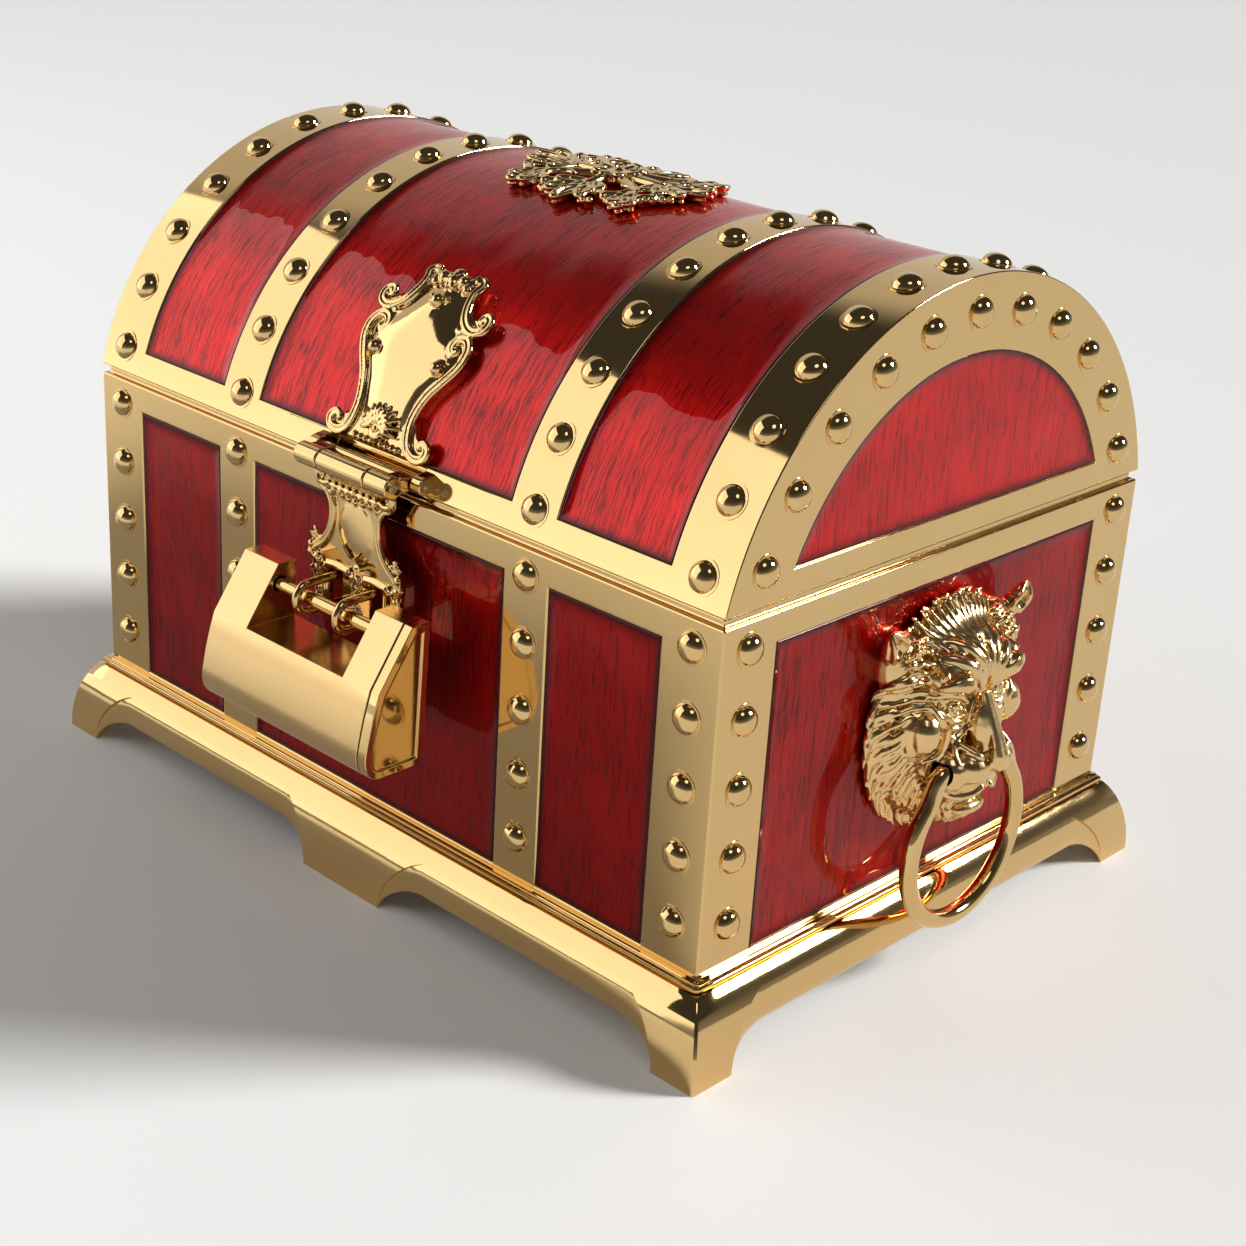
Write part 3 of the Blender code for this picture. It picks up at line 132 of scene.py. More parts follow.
def add_camera():
    """The camera at the photograph's viewpoint."""
    lens = bpy.data.cameras.new("camera")
    lens.sensor_width = SENSOR
    lens.lens = FOCAL_PIXELS / PHOTO_WIDTH * SENSOR
    camera = scene_object("camera", lens)
    turn = Matrix.Rotation(CAMERA_AZIMUTH, 4, "Z") @ Matrix.Rotation(pi / 2 - CAMERA_ELEVATION, 4, "X")
    camera.matrix_world = Matrix.Translation(CAMERA_PLACE) @ turn @ Matrix.Rotation(CAMERA_ROLL, 4, "Z")
    bpy.context.scene.camera = camera
    return lens.lens


print("lens", round(add_camera(), 2), "mm")

# %% [markdown]
# ## Lamps
# Polished metal is only as good as what it reflects, so the studio is kept simple. One large
# soft panel stands at the front left, low enough to be mirrored in the front. A small round one
# hangs high on the right. A broad back light comes from behind on the right and throws the
# chest's shadow to the front left.

# %% Lamps
STUDIO_CENTRE = Vector((0, MID_Y, 60 * MM))
LAMP_DISTANCE = 1.0
SOFT_PANELS = (
    ("front_panel", "RECTANGLE", (-51, 22), (0.92, 0.84), 1.5),
    ("side_panel", "ELLIPSE", (60, 55), (0.36, 0.36), 1.8),
)
SUN_AIM = (139, 29)
SUN_SPREAD = radians(16)
SUN_STRENGTH = 4.2


def direction(turn, rise):
    """A unit vector from degrees: turn from the front towards the right, rise from the floor."""
    turn, rise = radians(turn), radians(rise)
    return Vector((sin(turn) * cos(rise), -cos(turn) * cos(rise), sin(rise)))


def place_lamp(lamp, aim):
    """Put a lamp on a sphere round the chest, facing it."""
    away = direction(*aim)
    holder = scene_object(lamp.name, lamp)
    holder.location = STUDIO_CENTRE + away * LAMP_DISTANCE
    holder.rotation_euler = (-away).to_track_quat("-Z", "Y").to_euler()
    return holder


def soft_panel(name, shape, aim, size, brightness):
    """A soft box of a given brightness, seen only as light and in reflections."""
    lamp = bpy.data.lights.new(name, "AREA")
    lamp.shape = shape
    lamp.size, lamp.size_y = size
    share = 1 if shape == "RECTANGLE" else pi / 4
    lamp.energy = brightness * pi * size[0] * size[1] * share
    place_lamp(lamp, aim).visible_camera = False


def sun_lamp():
    """The broad back light."""
    lamp = bpy.data.lights.new("back_light", "SUN")
    lamp.energy = SUN_STRENGTH
    lamp.angle = SUN_SPREAD
    place_lamp(lamp, SUN_AIM)


for panel in SOFT_PANELS:
    soft_panel(*panel)
sun_lamp()
print("lamps placed:", len(SOFT_PANELS) + 1)

# %% [markdown]
# ## Helpers for node trees
# The sky, the floor and every finish are small node trees. One function adds a node, sets its
# options and feeds its inputs. Another socket is linked to an input, and a number or a colour is
# set on the input itself. A few more functions cover the nodes that come back most often.

# %% Node helpers
def feed(tree, node, inputs):
    """Give a node's inputs, found by name or index, a value or another node's output."""
    for key, value in inputs.items():
        if isinstance(value, bpy.types.NodeSocket):
            tree.links.new(value, node.inputs[key])
        else:
            node.inputs[key].default_value = value


def add_node(tree, kind, inputs=None, **options):
    """Add a node with its options set and its inputs fed."""
    node = tree.nodes.new("ShaderNode" + kind)
    for name, value in options.items():
        setattr(node, name, value)
    feed(tree, node, inputs or {})
    return node


def math_node(tree, operation, first, second):
    """The result of a Math node."""
    return add_node(tree, "Math", {0: first, 1: second}, operation=operation).outputs[0]


def noise_node(tree, vector, scale, detail=2.0, distortion=0.0):
    """A Noise texture's value."""
    inputs = {"Vector": vector, "Scale": scale, "Detail": detail, "Distortion": distortion}
    return add_node(tree, "TexNoise", inputs).outputs["Fac"]


def step_node(tree, value, low, high):
    """A soft step from 0 to 1 between two levels of a value."""
    inputs = {"Value": value, "From Min": low, "From Max": high}
    return add_node(tree, "MapRange", inputs, interpolation_type="SMOOTHSTEP").outputs["Result"]


def mix_node(tree, factor, first, second):
    """A colour between two others."""
    inputs = {"Factor": factor, "A": first, "B": second}
    return add_node(tree, "Mix", inputs, data_type="RGBA").outputs["Result"]


def ramp_node(tree, factor, stops):
    """A colour from a table of (place on the ramp, colour)."""
    ramp = add_node(tree, "ValToRGB", {"Fac": factor})
    elements = ramp.color_ramp.elements
    while len(elements) < len(stops):
        elements.new(0.5)
    for element, (place, colour) in zip(elements, stops):
        element.position = place
        element.color = (*colour, 1)
    return ramp.outputs["Color"]


def bump_node(tree, height, strength, distance):
    """A normal that follows a height."""
    inputs = {"Height": height, "Strength": strength, "Distance": distance}
    return add_node(tree, "Bump", inputs).outputs["Normal"]


def new_material(name):
    """A material, its node tree and its shader."""
    material = bpy.data.materials.new(name)
    material.use_nodes = True
    return material, material.node_tree, material.node_tree.nodes["Principled BSDF"]


# %% [markdown]
# ## Sky
# The room round the chest is dim, with one pale wall behind on the left. A wide gradient is what
# a mirror needs: the bands of the lid pick up the dark of the room and the pale of the wall.
# Both are ramps over the height, and a soft step chooses between them.

# %% Sky
ROOM_SKY = ((0.0, 0.3), (0.50, 0.30), (0.60, 0.12), (0.72, 0.05), (1.0, 0.05))
WALL_SKY = ((0.0, 0.3), (0.50, 0.72), (0.68, 0.68), (0.78, 0.62), (0.92, 0.52), (1.0, 0.10))
SKY_TINT = (1, 0.985, 0.95)
WALL_AIM = (-115, -15)
WALL_EDGE = (0.43, 0.55)


def sky_ramp(tree, height, levels):
    """Sky colour from a table of (share of the height, level)."""
    return ramp_node(tree, height, [(share, [level * part for part in SKY_TINT]) for share, level in levels])


def add_sky():
    """The room and its wall."""
    world = bpy.data.worlds.new("studio")
    bpy.context.scene.world = world
    world.use_nodes = True
    tree = world.node_tree
    place = add_node(tree, "TexCoord").outputs["Generated"]
    rise = add_node(tree, "SeparateXYZ", {0: place}).outputs["Z"]
    height = add_node(tree, "MapRange", {"Value": rise, "From Min": -1}).outputs["Result"]
    aim = add_node(tree, "VectorMath", {0: place, 1: direction(*WALL_AIM)}, operation="DOT_PRODUCT")
    wall = step_node(tree, aim.outputs["Value"], *WALL_EDGE)
    colour = mix_node(tree, wall, sky_ramp(tree, height, ROOM_SKY), sky_ramp(tree, height, WALL_SKY))
    feed(tree, tree.nodes["Background"], {"Color": colour})


add_sky()
bpy.context.scene.view_settings.view_transform = "Standard"
print("sky has", len(ROOM_SKY) + len(WALL_SKY), "stops")

# %% [markdown]
# ## Floor
# The floor is pale and matt and keeps the chest's shadow. It is lifted a little towards white
# wherever the camera, a reflection or a clear layer sees it, but the light that it sends back to
# the chest stays that of its colour.

# %% Floor
FLOOR_SIZE = 6.0
FLOOR_COLOUR = (0.90, 0.90, 0.89, 1)
FLOOR_LIFT = 0.02


def mesh_from(name, bm):
    """Turn a bmesh into a mesh and drop it."""
    mesh = bpy.data.meshes.new(name)
    bm.to_mesh(mesh)
    bm.free()
    return mesh


def add_floor():
    """The floor and its paint."""
    bm = bmesh.new()
    bmesh.ops.create_grid(bm, x_segments=1, y_segments=1, size=FLOOR_SIZE)
    floor = scene_object("floor", mesh_from("floor", bm))
    paint, tree, shader = new_material("floor_paint")
    rays = add_node(tree, "LightPath").outputs
    seen = math_node(tree, "MAXIMUM", rays["Is Camera Ray"], rays["Is Glossy Ray"])
    through = math_node(tree, "MAXIMUM", seen, rays["Is Transmission Ray"])
    feed(tree, shader, {
        "Base Color": FLOOR_COLOUR,
        "Roughness": 0.9,
        "Specular IOR Level": 0.0,
        "Emission Color": (1, 1, 1, 1),
        "Emission Strength": math_node(tree, "MULTIPLY", through, FLOOR_LIFT),
    })
    floor.data.materials.append(paint)


add_floor()
print("floor laid")

# %% [markdown]
# ## Metal finishes
# Gold plate is a metal with almost no roughness, so its look comes from a base colour with a
# warm tint, a faint unevenness of the polish, and hair scratches that catch light. The effect is
# a node group, because all metals share it. The frame is polished like a mirror. The lock, the
# crest and the lions are softer, as a cast surface is before its last polish.

# %% A node group for polished metal
CLOUD_SCALE = 28.0
FINE_SCALE = 420.0
WAVE_SCALE = 60.0
HAIR_STRETCH = (300.0, 300.0, 2600.0)
HAIR_SHARE = 0.08
POLISH_SOCKETS = (
    ("Roughness", "INPUT"), ("Spread", "INPUT"),
    ("Tint", "OUTPUT"), ("Roughness", "OUTPUT"), ("Height", "OUTPUT"),
)


def polish_group():
    """Uneven polish: a tint mask, a roughness and a height, from Object coordinates."""
    group = bpy.data.node_groups.new("polish", "ShaderNodeTree")
    for label, way in POLISH_SOCKETS:
        group.interface.new_socket(name=label, in_out=way, socket_type="NodeSocketFloat")
    given = group.nodes.new("NodeGroupInput").outputs
    place = add_node(group, "TexCoord").outputs["Object"]
    spread = math_node(group, "MULTIPLY", noise_node(group, place, FINE_SCALE), given["Spread"])
    stretched = add_node(group, "Mapping", {"Vector": place, "Scale": HAIR_STRETCH}).outputs["Vector"]
    hair = math_node(group, "MULTIPLY", noise_node(group, stretched, 1.0), HAIR_SHARE)
    feed(group, group.nodes.new("NodeGroupOutput"), {
        "Tint": noise_node(group, place, CLOUD_SCALE, 3.0),
        "Roughness": math_node(group, "ADD", given["Roughness"], spread),
        "Height": math_node(group, "ADD", noise_node(group, place, WAVE_SCALE, 1.0), hair),
    })
    return group


POLISH = polish_group()
print("polish group has", len(POLISH.nodes), "nodes")


# %% Gold plate and steel
def metal(name, light, deep, roughness, spread, bump):
    """A polished metal with two close tints, uneven roughness and a slight bump."""
    material, tree, shader = new_material(name)
    polish = add_node(tree, "Group", {"Roughness": roughness, "Spread": spread}, node_tree=POLISH)
    made = polish.outputs
    feed(tree, shader, {
        "Base Color": mix_node(tree, made["Tint"], (*light, 1), (*deep, 1)),
        "Metallic": 1.0,
        "Roughness": made["Roughness"],
        "Normal": bump_node(tree, made["Height"], bump, 0.1 * MM),
    })
    return material


GOLD = metal("gilt_plate", (0.76, 0.525, 0.24), (0.68, 0.46, 0.19), 0.04, 0.05, 0.10)
SATIN_GOLD = metal("gilt_casting", (0.80, 0.56, 0.27), (0.70, 0.47, 0.20), 0.15, 0.08, 0.10)
STEEL = metal("bright_steel", (0.62, 0.61, 0.59), (0.50, 0.49, 0.47), 0.22, 0.12, 0.25)
print("metals made:", GOLD.name, SATIN_GOLD.name, STEEL.name)

# %% [markdown]
# ## Red enamel
# The sunk fields are brushed in fine wavy lines before the clear red enamel goes on. The lines
# glow through it, because metal lies under the colour. The enamel is thicker where it climbs the
# frame, so it turns to a dark purple there. The tub's upright fields get a darker copy of the same
# red, which is painted shade, so there are two colours of it. The base layer is partly metallic
# and carries the lines as a bump, and a clear coat on top stays smooth. Each panel brings a UV map
# in metres for the lines and an attribute that is 1 at its rim.

# %% Enamel material
SWAY_SCALE = 240.0
SWAY_REACH = 1.5 * MM
LINE_STRETCH = (1550.0, 62.0, 1.0)
LINE_WIDTH = 0.045
LINE_SHARE = 0.50
MOTTLE_SCALE = 55.0
MOTTLE_SHARE = 0.55
RIM_PURPLE = (0.030, 0.001, 0.006, 1)
COAT_RED = (0.80, 0.25, 0.25, 1)


def enamel_material(name, deep, bright, coat):
    """Clear red enamel over a brushed ground, between two colours and under a coat of some weight."""
    material, tree, shader = new_material(name)
    uv = add_node(tree, "TexCoord").outputs["UV"]
    sway = add_node(tree, "TexNoise", {"Vector": uv, "Scale": SWAY_SCALE, "Detail": 3.0}).outputs["Color"]
    shift = add_node(tree, "VectorMath", {0: sway, "Scale": SWAY_REACH}, operation="SCALE").outputs[0]
    bent = add_node(tree, "VectorMath", {0: uv, 1: shift}, operation="ADD").outputs[0]
    drawn = add_node(tree, "Mapping", {"Vector": bent, "Scale": LINE_STRETCH}).outputs["Vector"]
    grain = noise_node(tree, drawn, 1.0, 3.0)
    away = math_node(tree, "ABSOLUTE", math_node(tree, "SUBTRACT", grain, 0.5), 0.0)
    lines = step_node(tree, away, 0.0, LINE_WIDTH)
    mottle = math_node(tree, "MULTIPLY", noise_node(tree, uv, MOTTLE_SCALE, 3.0), MOTTLE_SHARE)
    glow = math_node(tree, "ADD", math_node(tree, "MULTIPLY", lines, LINE_SHARE), mottle)
    colour = ramp_node(tree, glow, ((0.22, deep), (0.88, bright)))
    rim = add_node(tree, "Attribute", attribute_name="rim").outputs["Fac"]
    feed(tree, shader, {
        "Base Color": mix_node(tree, rim, colour, RIM_PURPLE),
        "Metallic": 0.88,
        "Roughness": math_node(tree, "ADD", math_node(tree, "MULTIPLY", grain, 0.20), 0.28),
        "Specular IOR Level": 0.0,
        "Coat Weight": coat,
        "Coat Roughness": 0.02,
        "Coat IOR": 1.45,
        "Coat Tint": COAT_RED,
        "Normal": bump_node(tree, lines, 0.35, 0.12 * MM),
    })
    return material


LID_ENAMEL = enamel_material("red_enamel", (0.20, 0.0012, 0.0016), (0.80, 0.013, 0.009), 0.65)
# The tub's enamel is the same red made darker as painted shade for its upright fields, with a weaker coat.
TUB_ENAMEL_PAINTED_SHADE = enamel_material("red_enamel_painted_shade", (0.10, 0.0007, 0.0010), (0.46, 0.0050, 0.0035), 0.45)
print("enamels made:", LID_ENAMEL.name, TUB_ENAMEL_PAINTED_SHADE.name)

# %% [markdown]
# ## Cloth finishes
# The inside is lined in short dark red flock, and the board under the base in black flock. Flock
# is thousands of upright fibres: it has no gloss, brightens at grazing angles and mottles
# where it has been stroked.

# %% Flock material
NAP_SCALE = 40.0
FIBRE_SCALE = 2600.0


def flock(name, colour, bright):
    """Short upright fibre, with a sheen and a mottled nap."""
    material, tree, shader = new_material(name)
    place = add_node(tree, "TexCoord").outputs["Object"]
    fibre = noise_node(tree, place, FIBRE_SCALE)
    nap = math_node(tree, "MULTIPLY", noise_node(tree, place, NAP_SCALE, 4.0, 1.5), fibre)
    feed(tree, shader, {
        "Base Color": mix_node(tree, nap, (*colour, 1), (*bright, 1)),
        "Roughness": 0.95,
        "Specular IOR Level": 0.1,
        "Sheen Weight": 0.6,
        "Sheen Roughness": 0.4,
        "Sheen Tint": (*bright, 1),
        "Normal": bump_node(tree, fibre, 0.5, 0.2 * MM),
    })
    return material


RED_FLOCK = flock("red_flock", (0.12, 0.004, 0.008), (0.34, 0.02, 0.03))
BLACK_FLOCK = flock("black_flock", (0.012, 0.012, 0.013), (0.05, 0.05, 0.05))
print("flocks made:", RED_FLOCK.name, BLACK_FLOCK.name)

# %% [markdown]
# ## How a piece is finished
# Every piece goes through one function. It closes the mesh's book-keeping, gives it its
# material, rounds its hard edges with a live Bevel, hangs it on the body that carries it and
# hides the plain solids it stands for. Rounded edges matter most on polished metal: the bright
# and dark lines along them draw the whole shape.

# %% Finish a piece
EDGE_STEPS = 3
ROUNDED_FROM = radians(28)
SHARP_FROM = radians(38)


def finish_piece(name, bm, material, body, replaced=(), bevel=0.0, turn=True):
    """Turn a bmesh into a named piece that rides on a body."""
    if turn:
        bmesh.ops.recalc_face_normals(bm, faces=bm.faces)
    mesh = mesh_from(name, bm)
    mesh.materials.append(material)
    mesh.shade_smooth()
    piece = scene_object(name, mesh)
    if bevel:
        edge = piece.modifiers.new("rounded_edges", "BEVEL")
        edge.width = bevel
        edge.segments = EDGE_STEPS
        edge.limit_method = "ANGLE"
        edge.angle_limit = ROUNDED_FROM
        edge.harden_normals = True
        edge.loop_slide = False
    else:
        mesh.set_sharp_from_angle(angle=SHARP_FROM)
    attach(piece, body)
    if replaced:
        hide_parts(*replaced)
    print(name, len(mesh.polygons), "faces")
    return piece


# %% [markdown]
# ## Helpers for meshes
# A few small steps come back in almost every piece: picking the new points or edges out of what
# an operator returns, cutting a mesh across an axis, pushing a patch of faces in or out, making
# a box, and spinning a chain of edges into a turned shape. Each is written once.

# %% Mesh helpers
MERGE = 0.001 * MM
STRAIGHT = 0.9


def only(kind, items):
    """The points, edges or faces among what an operator made."""
    return [item for item in items if isinstance(item, kind)]


def everything(bm):
    """All points, edges and faces of a bmesh."""
    return bm.verts[:] + bm.edges[:] + bm.faces[:]


def looking(bm, way):
    """The faces that look some way."""
    return [face for face in bm.faces if face.normal.dot(Vector(way)) > STRAIGHT]


def merge_doubles(bm):
    """Join points that lie at one place."""
    bmesh.ops.remove_doubles(bm, verts=bm.verts, dist=MERGE)


def slice_at(bm, axis, places):
    """Cut a mesh across one axis at several places, without parting it."""
    normal = Vector((0, 0, 0))
    normal[axis] = 1
    for place in places:
        bmesh.ops.bisect_plane(bm, geom=everything(bm), plane_co=normal * place, plane_no=normal)


def push(bm, faces, step):
    """Extrude a patch of faces as one region and move it."""
    grown = bmesh.ops.extrude_face_region(bm, geom=faces)["geom"]
    bmesh.ops.delete(bm, geom=faces, context="FACES")
    bmesh.ops.translate(bm, vec=step, verts=only(BMVert, grown))
    return only(BMFace, grown)


def chain(bm, points, closed=False):
    """New points joined by edges, one after the other."""
    verts = [bm.verts.new(point) for point in points]
    ends = verts[1:] + verts[:1] if closed else verts[1:]
    return verts, [bm.edges.new(pair) for pair in zip(verts, ends)]


def box_mesh(low, high):
    """A box between two corners."""
    bm = bmesh.new()
    bmesh.ops.create_cube(bm, size=1)
    bmesh.ops.scale(bm, vec=Vector(high) - Vector(low), verts=bm.verts)
    bmesh.ops.translate(bm, vec=(Vector(low) + Vector(high)) / 2, verts=bm.verts)
    return bm


def turned(profile, sides):
    """A profile of (radius, height) spun a full turn round Z."""
    bm = bmesh.new()
    verts, edges = chain(bm, [(radius, 0, height) for radius, height in profile])
    bmesh.ops.spin(bm, geom=verts + edges, cent=(0, 0, 0), axis=(0, 0, 1), angle=tau, steps=sides,
                   use_merge=True)
    merge_doubles(bm)
    bmesh.ops.recalc_face_normals(bm, faces=bm.faces)
    return bm


# %% [markdown]
# ## The tub's casting
# The tub is one hollow casting. A cube is sliced where the posts, bands and rail meet the
# fields, and each field is pushed in. The top is inset and raised for the lip that the lid
# closes over, then inset again and pushed down to the floor. Slicing a simple box keeps all
# faces flat, so the reflections stay straight.

# %% Tub
TUB_WALL = 2.8 * MM
TUB_FLOOR = 2.6 * MM
TUB_SINK = 0.6 * MM
RIM_INSET = 1.1 * MM
LIP_RISE = 1.4 * MM
EDGE_ROUND = 0.45 * MM


def sink_field(bm, axis, side, low, high):
    """Push in the field that looks along an axis, between two places on the other axis."""
    step = Vector((0, 0, 0))
    step[axis] = side
    field = []
    for face in looking(bm, step):
        centre = face.calc_center_median()
        if low < centre[1 - axis] < high and FIELD_FOOT < centre.z < FIELD_TOP:
            field.append(face)
    push(bm, field, -RECESS * step)


def make_tub():
    """The open casting with posts, bands, rail and lip."""
    foot = TUB_BOTTOM - TUB_SINK
    bm = box_mesh((-HALF_X, FRONT, foot), (HALF_X, BACK, TUB_TOP))
    slice_at(bm, 0, FIELD_EDGES)
    across = HALF_Y - CORNER_POST
    slice_at(bm, 1, [MID_Y - across, MID_Y + across])
    slice_at(bm, 2, [FIELD_FOOT, FIELD_TOP])
    top = looking(bm, (0, 0, 1))
    for side in (-1, 1):
        for _, low, high in SPANS:
            sink_field(bm, 1, side, low, high)
        sink_field(bm, 0, side, MID_Y - across, MID_Y + across)
    bmesh.ops.inset_region(bm, faces=top, thickness=RIM_INSET, use_even_offset=True)
    top = push(bm, top, (0, 0, LIP_RISE))
    bmesh.ops.inset_region(bm, faces=top, thickness=TUB_WALL - RIM_INSET, use_even_offset=True)
    push(bm, top, (0, 0, TUB_BOTTOM + TUB_FLOOR - TUB_TOP - LIP_RISE))
    return finish_piece("tub_casting", bm, GOLD, "root", ["tub"], bevel=EDGE_ROUND)


make_tub()

# %% [markdown]
# ## Cast domes
# Rows of half-round heads run down the posts and over the bands. Each stands in a narrow moat,
# which shows as a fine ring. One profile is spun into a small mesh, and a loop stamps copies
# along the posts, the bands and the lid's ends. A copy has 160 faces, enough for a round outline
# at this size.

# %% One dome
DOME_RADIUS = 2.75 * MM
DOME_HEIGHT = 1.85 * MM
DOME_COLLAR = 3.25 * MM
DOME_EDGE = 6.7 * MM
DOME_SIDES = 20
DOME_TURNS = (22, 42, 60, 76)
DOME_FOOT = -0.4 * MM
MOAT = (0.10 * MM, 0.12 * MM)


def dome_template():
    """A half-round head in a moat, standing on Z."""
    profile = [(0, DOME_FOOT), (DOME_COLLAR, DOME_FOOT), (DOME_COLLAR, MOAT[0]), (DOME_RADIUS, MOAT[1])]
    for turn in DOME_TURNS:
        profile.append((DOME_RADIUS * cos(radians(turn)), DOME_HEIGHT * sin(radians(turn))))
    profile.append((0, DOME_HEIGHT))
    return mesh_from("dome_template", turned(profile, DOME_SIDES))


DOME = dome_template()
print("one dome has", len(DOME.polygons), "faces")


def stamp(bm, template, matrix):
    """Add a copy of a template mesh to a bmesh."""
    known = len(bm.verts)
    bm.from_mesh(template)
    bm.verts.ensure_lookup_table()
    bmesh.ops.transform(bm, matrix=matrix, verts=bm.verts[known:])


def facing(way, place):
    """A frame at a place whose Z points some way."""
    turn = Vector(way).to_track_quat("Z", "Y").to_matrix().to_4x4()
    return Matrix.Translation(place) @ turn


# %% Domes on the tub
POST_DOMES = 5
LOWEST_DOME = 8.0 * MM
HIGHEST_DOME = 5.0 * MM
HINGE_ZONE = TUB_TOP - 10.0 * MM


def make_tub_domes():
    """Five domes down each post and band."""
    bm = bmesh.new()
    low, high = TUB_BOTTOM + LOWEST_DOME, TUB_TOP - HIGHEST_DOME
    for index in range(POST_DOMES):
        z = low + (high - low) * index / (POST_DOMES - 1)
        for side in (-1, 1):
            for x in (HALF_X - DOME_EDGE, MID_BAND_X):
                stamp(bm, DOME, facing((0, -1, 0), (side * x, FRONT, z)))
                if x != MID_BAND_X or z < HINGE_ZONE:
                    stamp(bm, DOME, facing((0, 1, 0), (side * x, BACK, z)))
            for y in (DOME_EDGE - HALF_Y, HALF_Y - DOME_EDGE):
                stamp(bm, DOME, facing((side, 0, 0), (side * HALF_X, MID_Y + y, z)))
    return finish_piece("tub_domes", bm, GOLD, "root", turn=False)


make_tub_domes()

# %% [markdown]
# ## The lid's casting
# The barrel is drawn as one arc and extruded along X in strips, one strip for each band and
# field. The fields are pushed in along the arc's own radius. The ends are rings between the big
# arc and the small half-round field. A smaller copy of the same barrel is the inside, and the
# rim is the outer edge extruded inwards until its points meet the inner one.

# %% Lid
ARC_STEPS = 88
LID_WALL = 2.8 * MM
POCKET_X = 13.1 * MM
POCKET_LOW = LID_BOTTOM + 0.8 * MM
POCKET_HIGH = LID_BOTTOM + LID_RAIL - 0.5 * MM
POCKET_DEPTH = 2.2 * MM
LEAST_TURN = 0.4 / ARC_STEPS
NEAR_FOOT = 0.01 * MM
BAR_ENDS = sorted([-HALF_X, HALF_X, -POCKET_X, POCKET_X] + FIELD_EDGES)


def arc_turns(radius, bottom, steps):
    """Angles of an arc that starts and ends at a height."""
    edge = lid_angle(bottom, radius)
    return [edge + (pi - 2 * edge) * index / steps for index in range(steps + 1)]


def lid_turns():
    """The outer arc's angles, with one at each end of the fields and of the pocket."""
    wanted = [PANEL_ANGLE, pi - PANEL_ANGLE, lid_angle(POCKET_LOW), lid_angle(POCKET_HIGH)]
    ends = arc_turns(LID_RADIUS, LID_BOTTOM, 1)
    spaced = [turn for turn in arc_turns(LID_RADIUS, LID_BOTTOM, ARC_STEPS)[1:-1]
              if min(abs(turn - other) for other in wanted) > LEAST_TURN]
    return sorted(ends + spaced + wanted)


def lid_turn(point):
    """The turn of a point round the lid's axis, counted up from the front horizon."""
    return atan2(point.z - LID_AXIS_Z, MID_Y - point.y)


def barrel(bm, radius, turns, stations):
    """Extrude an arc of edges along X through several stations."""
    first = chain(bm, [on_arc(stations[0], turn, radius) for turn in turns])[1]
    edges = first
    for near, far in zip(stations, stations[1:]):
        grown = bmesh.ops.extrude_edge_only(bm, edges=edges)["geom"]
        edges = only(BMEdge, grown)
        bmesh.ops.translate(bm, vec=(far - near, 0, 0), verts=only(BMVert, grown))
    return first, edges


def close_foot(bm, arc_edges):
    """Join the two lowest points of an arc by an edge."""
    ends = {vert for edge in arc_edges for vert in edge.verts}
    return bm.edges.new([vert for vert in ends if vert.co.z < LID_BOTTOM + NEAR_FOOT])


def end_ring(bm, side, arc_edges):
    """Close an end of the barrel with a border round the sunk half-round field."""
    base = close_foot(bm, arc_edges)
    radius = LID_RADIUS - END_BORDER
    outer_foot = lid_angle(LID_BOTTOM)
    inner_foot = lid_angle(LID_BOTTOM + LID_RAIL, radius)
    grown = bmesh.ops.extrude_edge_only(bm, edges=arc_edges + [base])["geom"]
    for vert in only(BMVert, grown):
        share = (lid_turn(vert.co) - outer_foot) / (pi - 2 * outer_foot)
        vert.co = on_arc(vert.co.x, inner_foot + share * (pi - 2 * inner_foot), radius)
    grown = bmesh.ops.extrude_edge_only(bm, edges=only(BMEdge, grown))["geom"]
    bmesh.ops.translate(bm, vec=(-side * RECESS, 0, 0), verts=only(BMVert, grown))
    bmesh.ops.edgeloop_fill(bm, edges=only(BMEdge, grown))


def sink_lid_field(bm, low, high):
    """Push one field of the barrel in along the arc's radius."""
    field = [face for face in bm.faces if low < face.calc_center_median().x < high
             and PANEL_ANGLE < lid_turn(face.calc_center_median()) < pi - PANEL_ANGLE]
    grown = bmesh.ops.extrude_face_region(bm, geom=field)["geom"]
    bmesh.ops.delete(bm, geom=field, context="FACES")
    for vert in only(BMVert, grown):
        away = Vector((0, vert.co.y - MID_Y, vert.co.z - LID_AXIS_Z))
        vert.co -= away.normalized() * RECESS


def make_lid():
    """The barrel casting with sunk fields, open below."""
    bm = bmesh.new()
    left, right = barrel(bm, LID_RADIUS, lid_turns(), BAR_ENDS)
    for _, low, high in SPANS:
        sink_lid_field(bm, low, high)
    centres = {face: face.calc_center_median() for face in bm.faces}
    pocket = [face for face, centre in centres.items() if centre.y < MID_Y
              and abs(centre.x) < POCKET_X and POCKET_LOW < centre.z < POCKET_HIGH]
    push(bm, pocket, (0, POCKET_DEPTH, 0))
    end_ring(bm, -1, left)
    end_ring(bm, 1, right)
    outer = [edge for edge in bm.edges if edge.is_boundary]
    shrink = (HALF_X - LID_WALL) / HALF_X
    radius = LID_RADIUS - LID_WALL
    inner_half = radius * cos(lid_angle(LID_BOTTOM, radius))
    inside = [place * shrink for place in BAR_ENDS]
    for arc_edges in barrel(bm, radius, arc_turns(radius, LID_BOTTOM, ARC_STEPS), inside):
        bmesh.ops.edgeloop_fill(bm, edges=arc_edges + [close_foot(bm, arc_edges)])
    grown = bmesh.ops.extrude_edge_only(bm, edges=outer)["geom"]
    for vert in only(BMVert, grown):
        vert.co.x *= shrink
        vert.co.y = MID_Y + (inner_half if vert.co.y > MID_Y else -inner_half)
    merge_doubles(bm)
    return finish_piece("lid_casting", bm, GOLD, "lid", ["lid"], bevel=EDGE_ROUND)


make_lid()

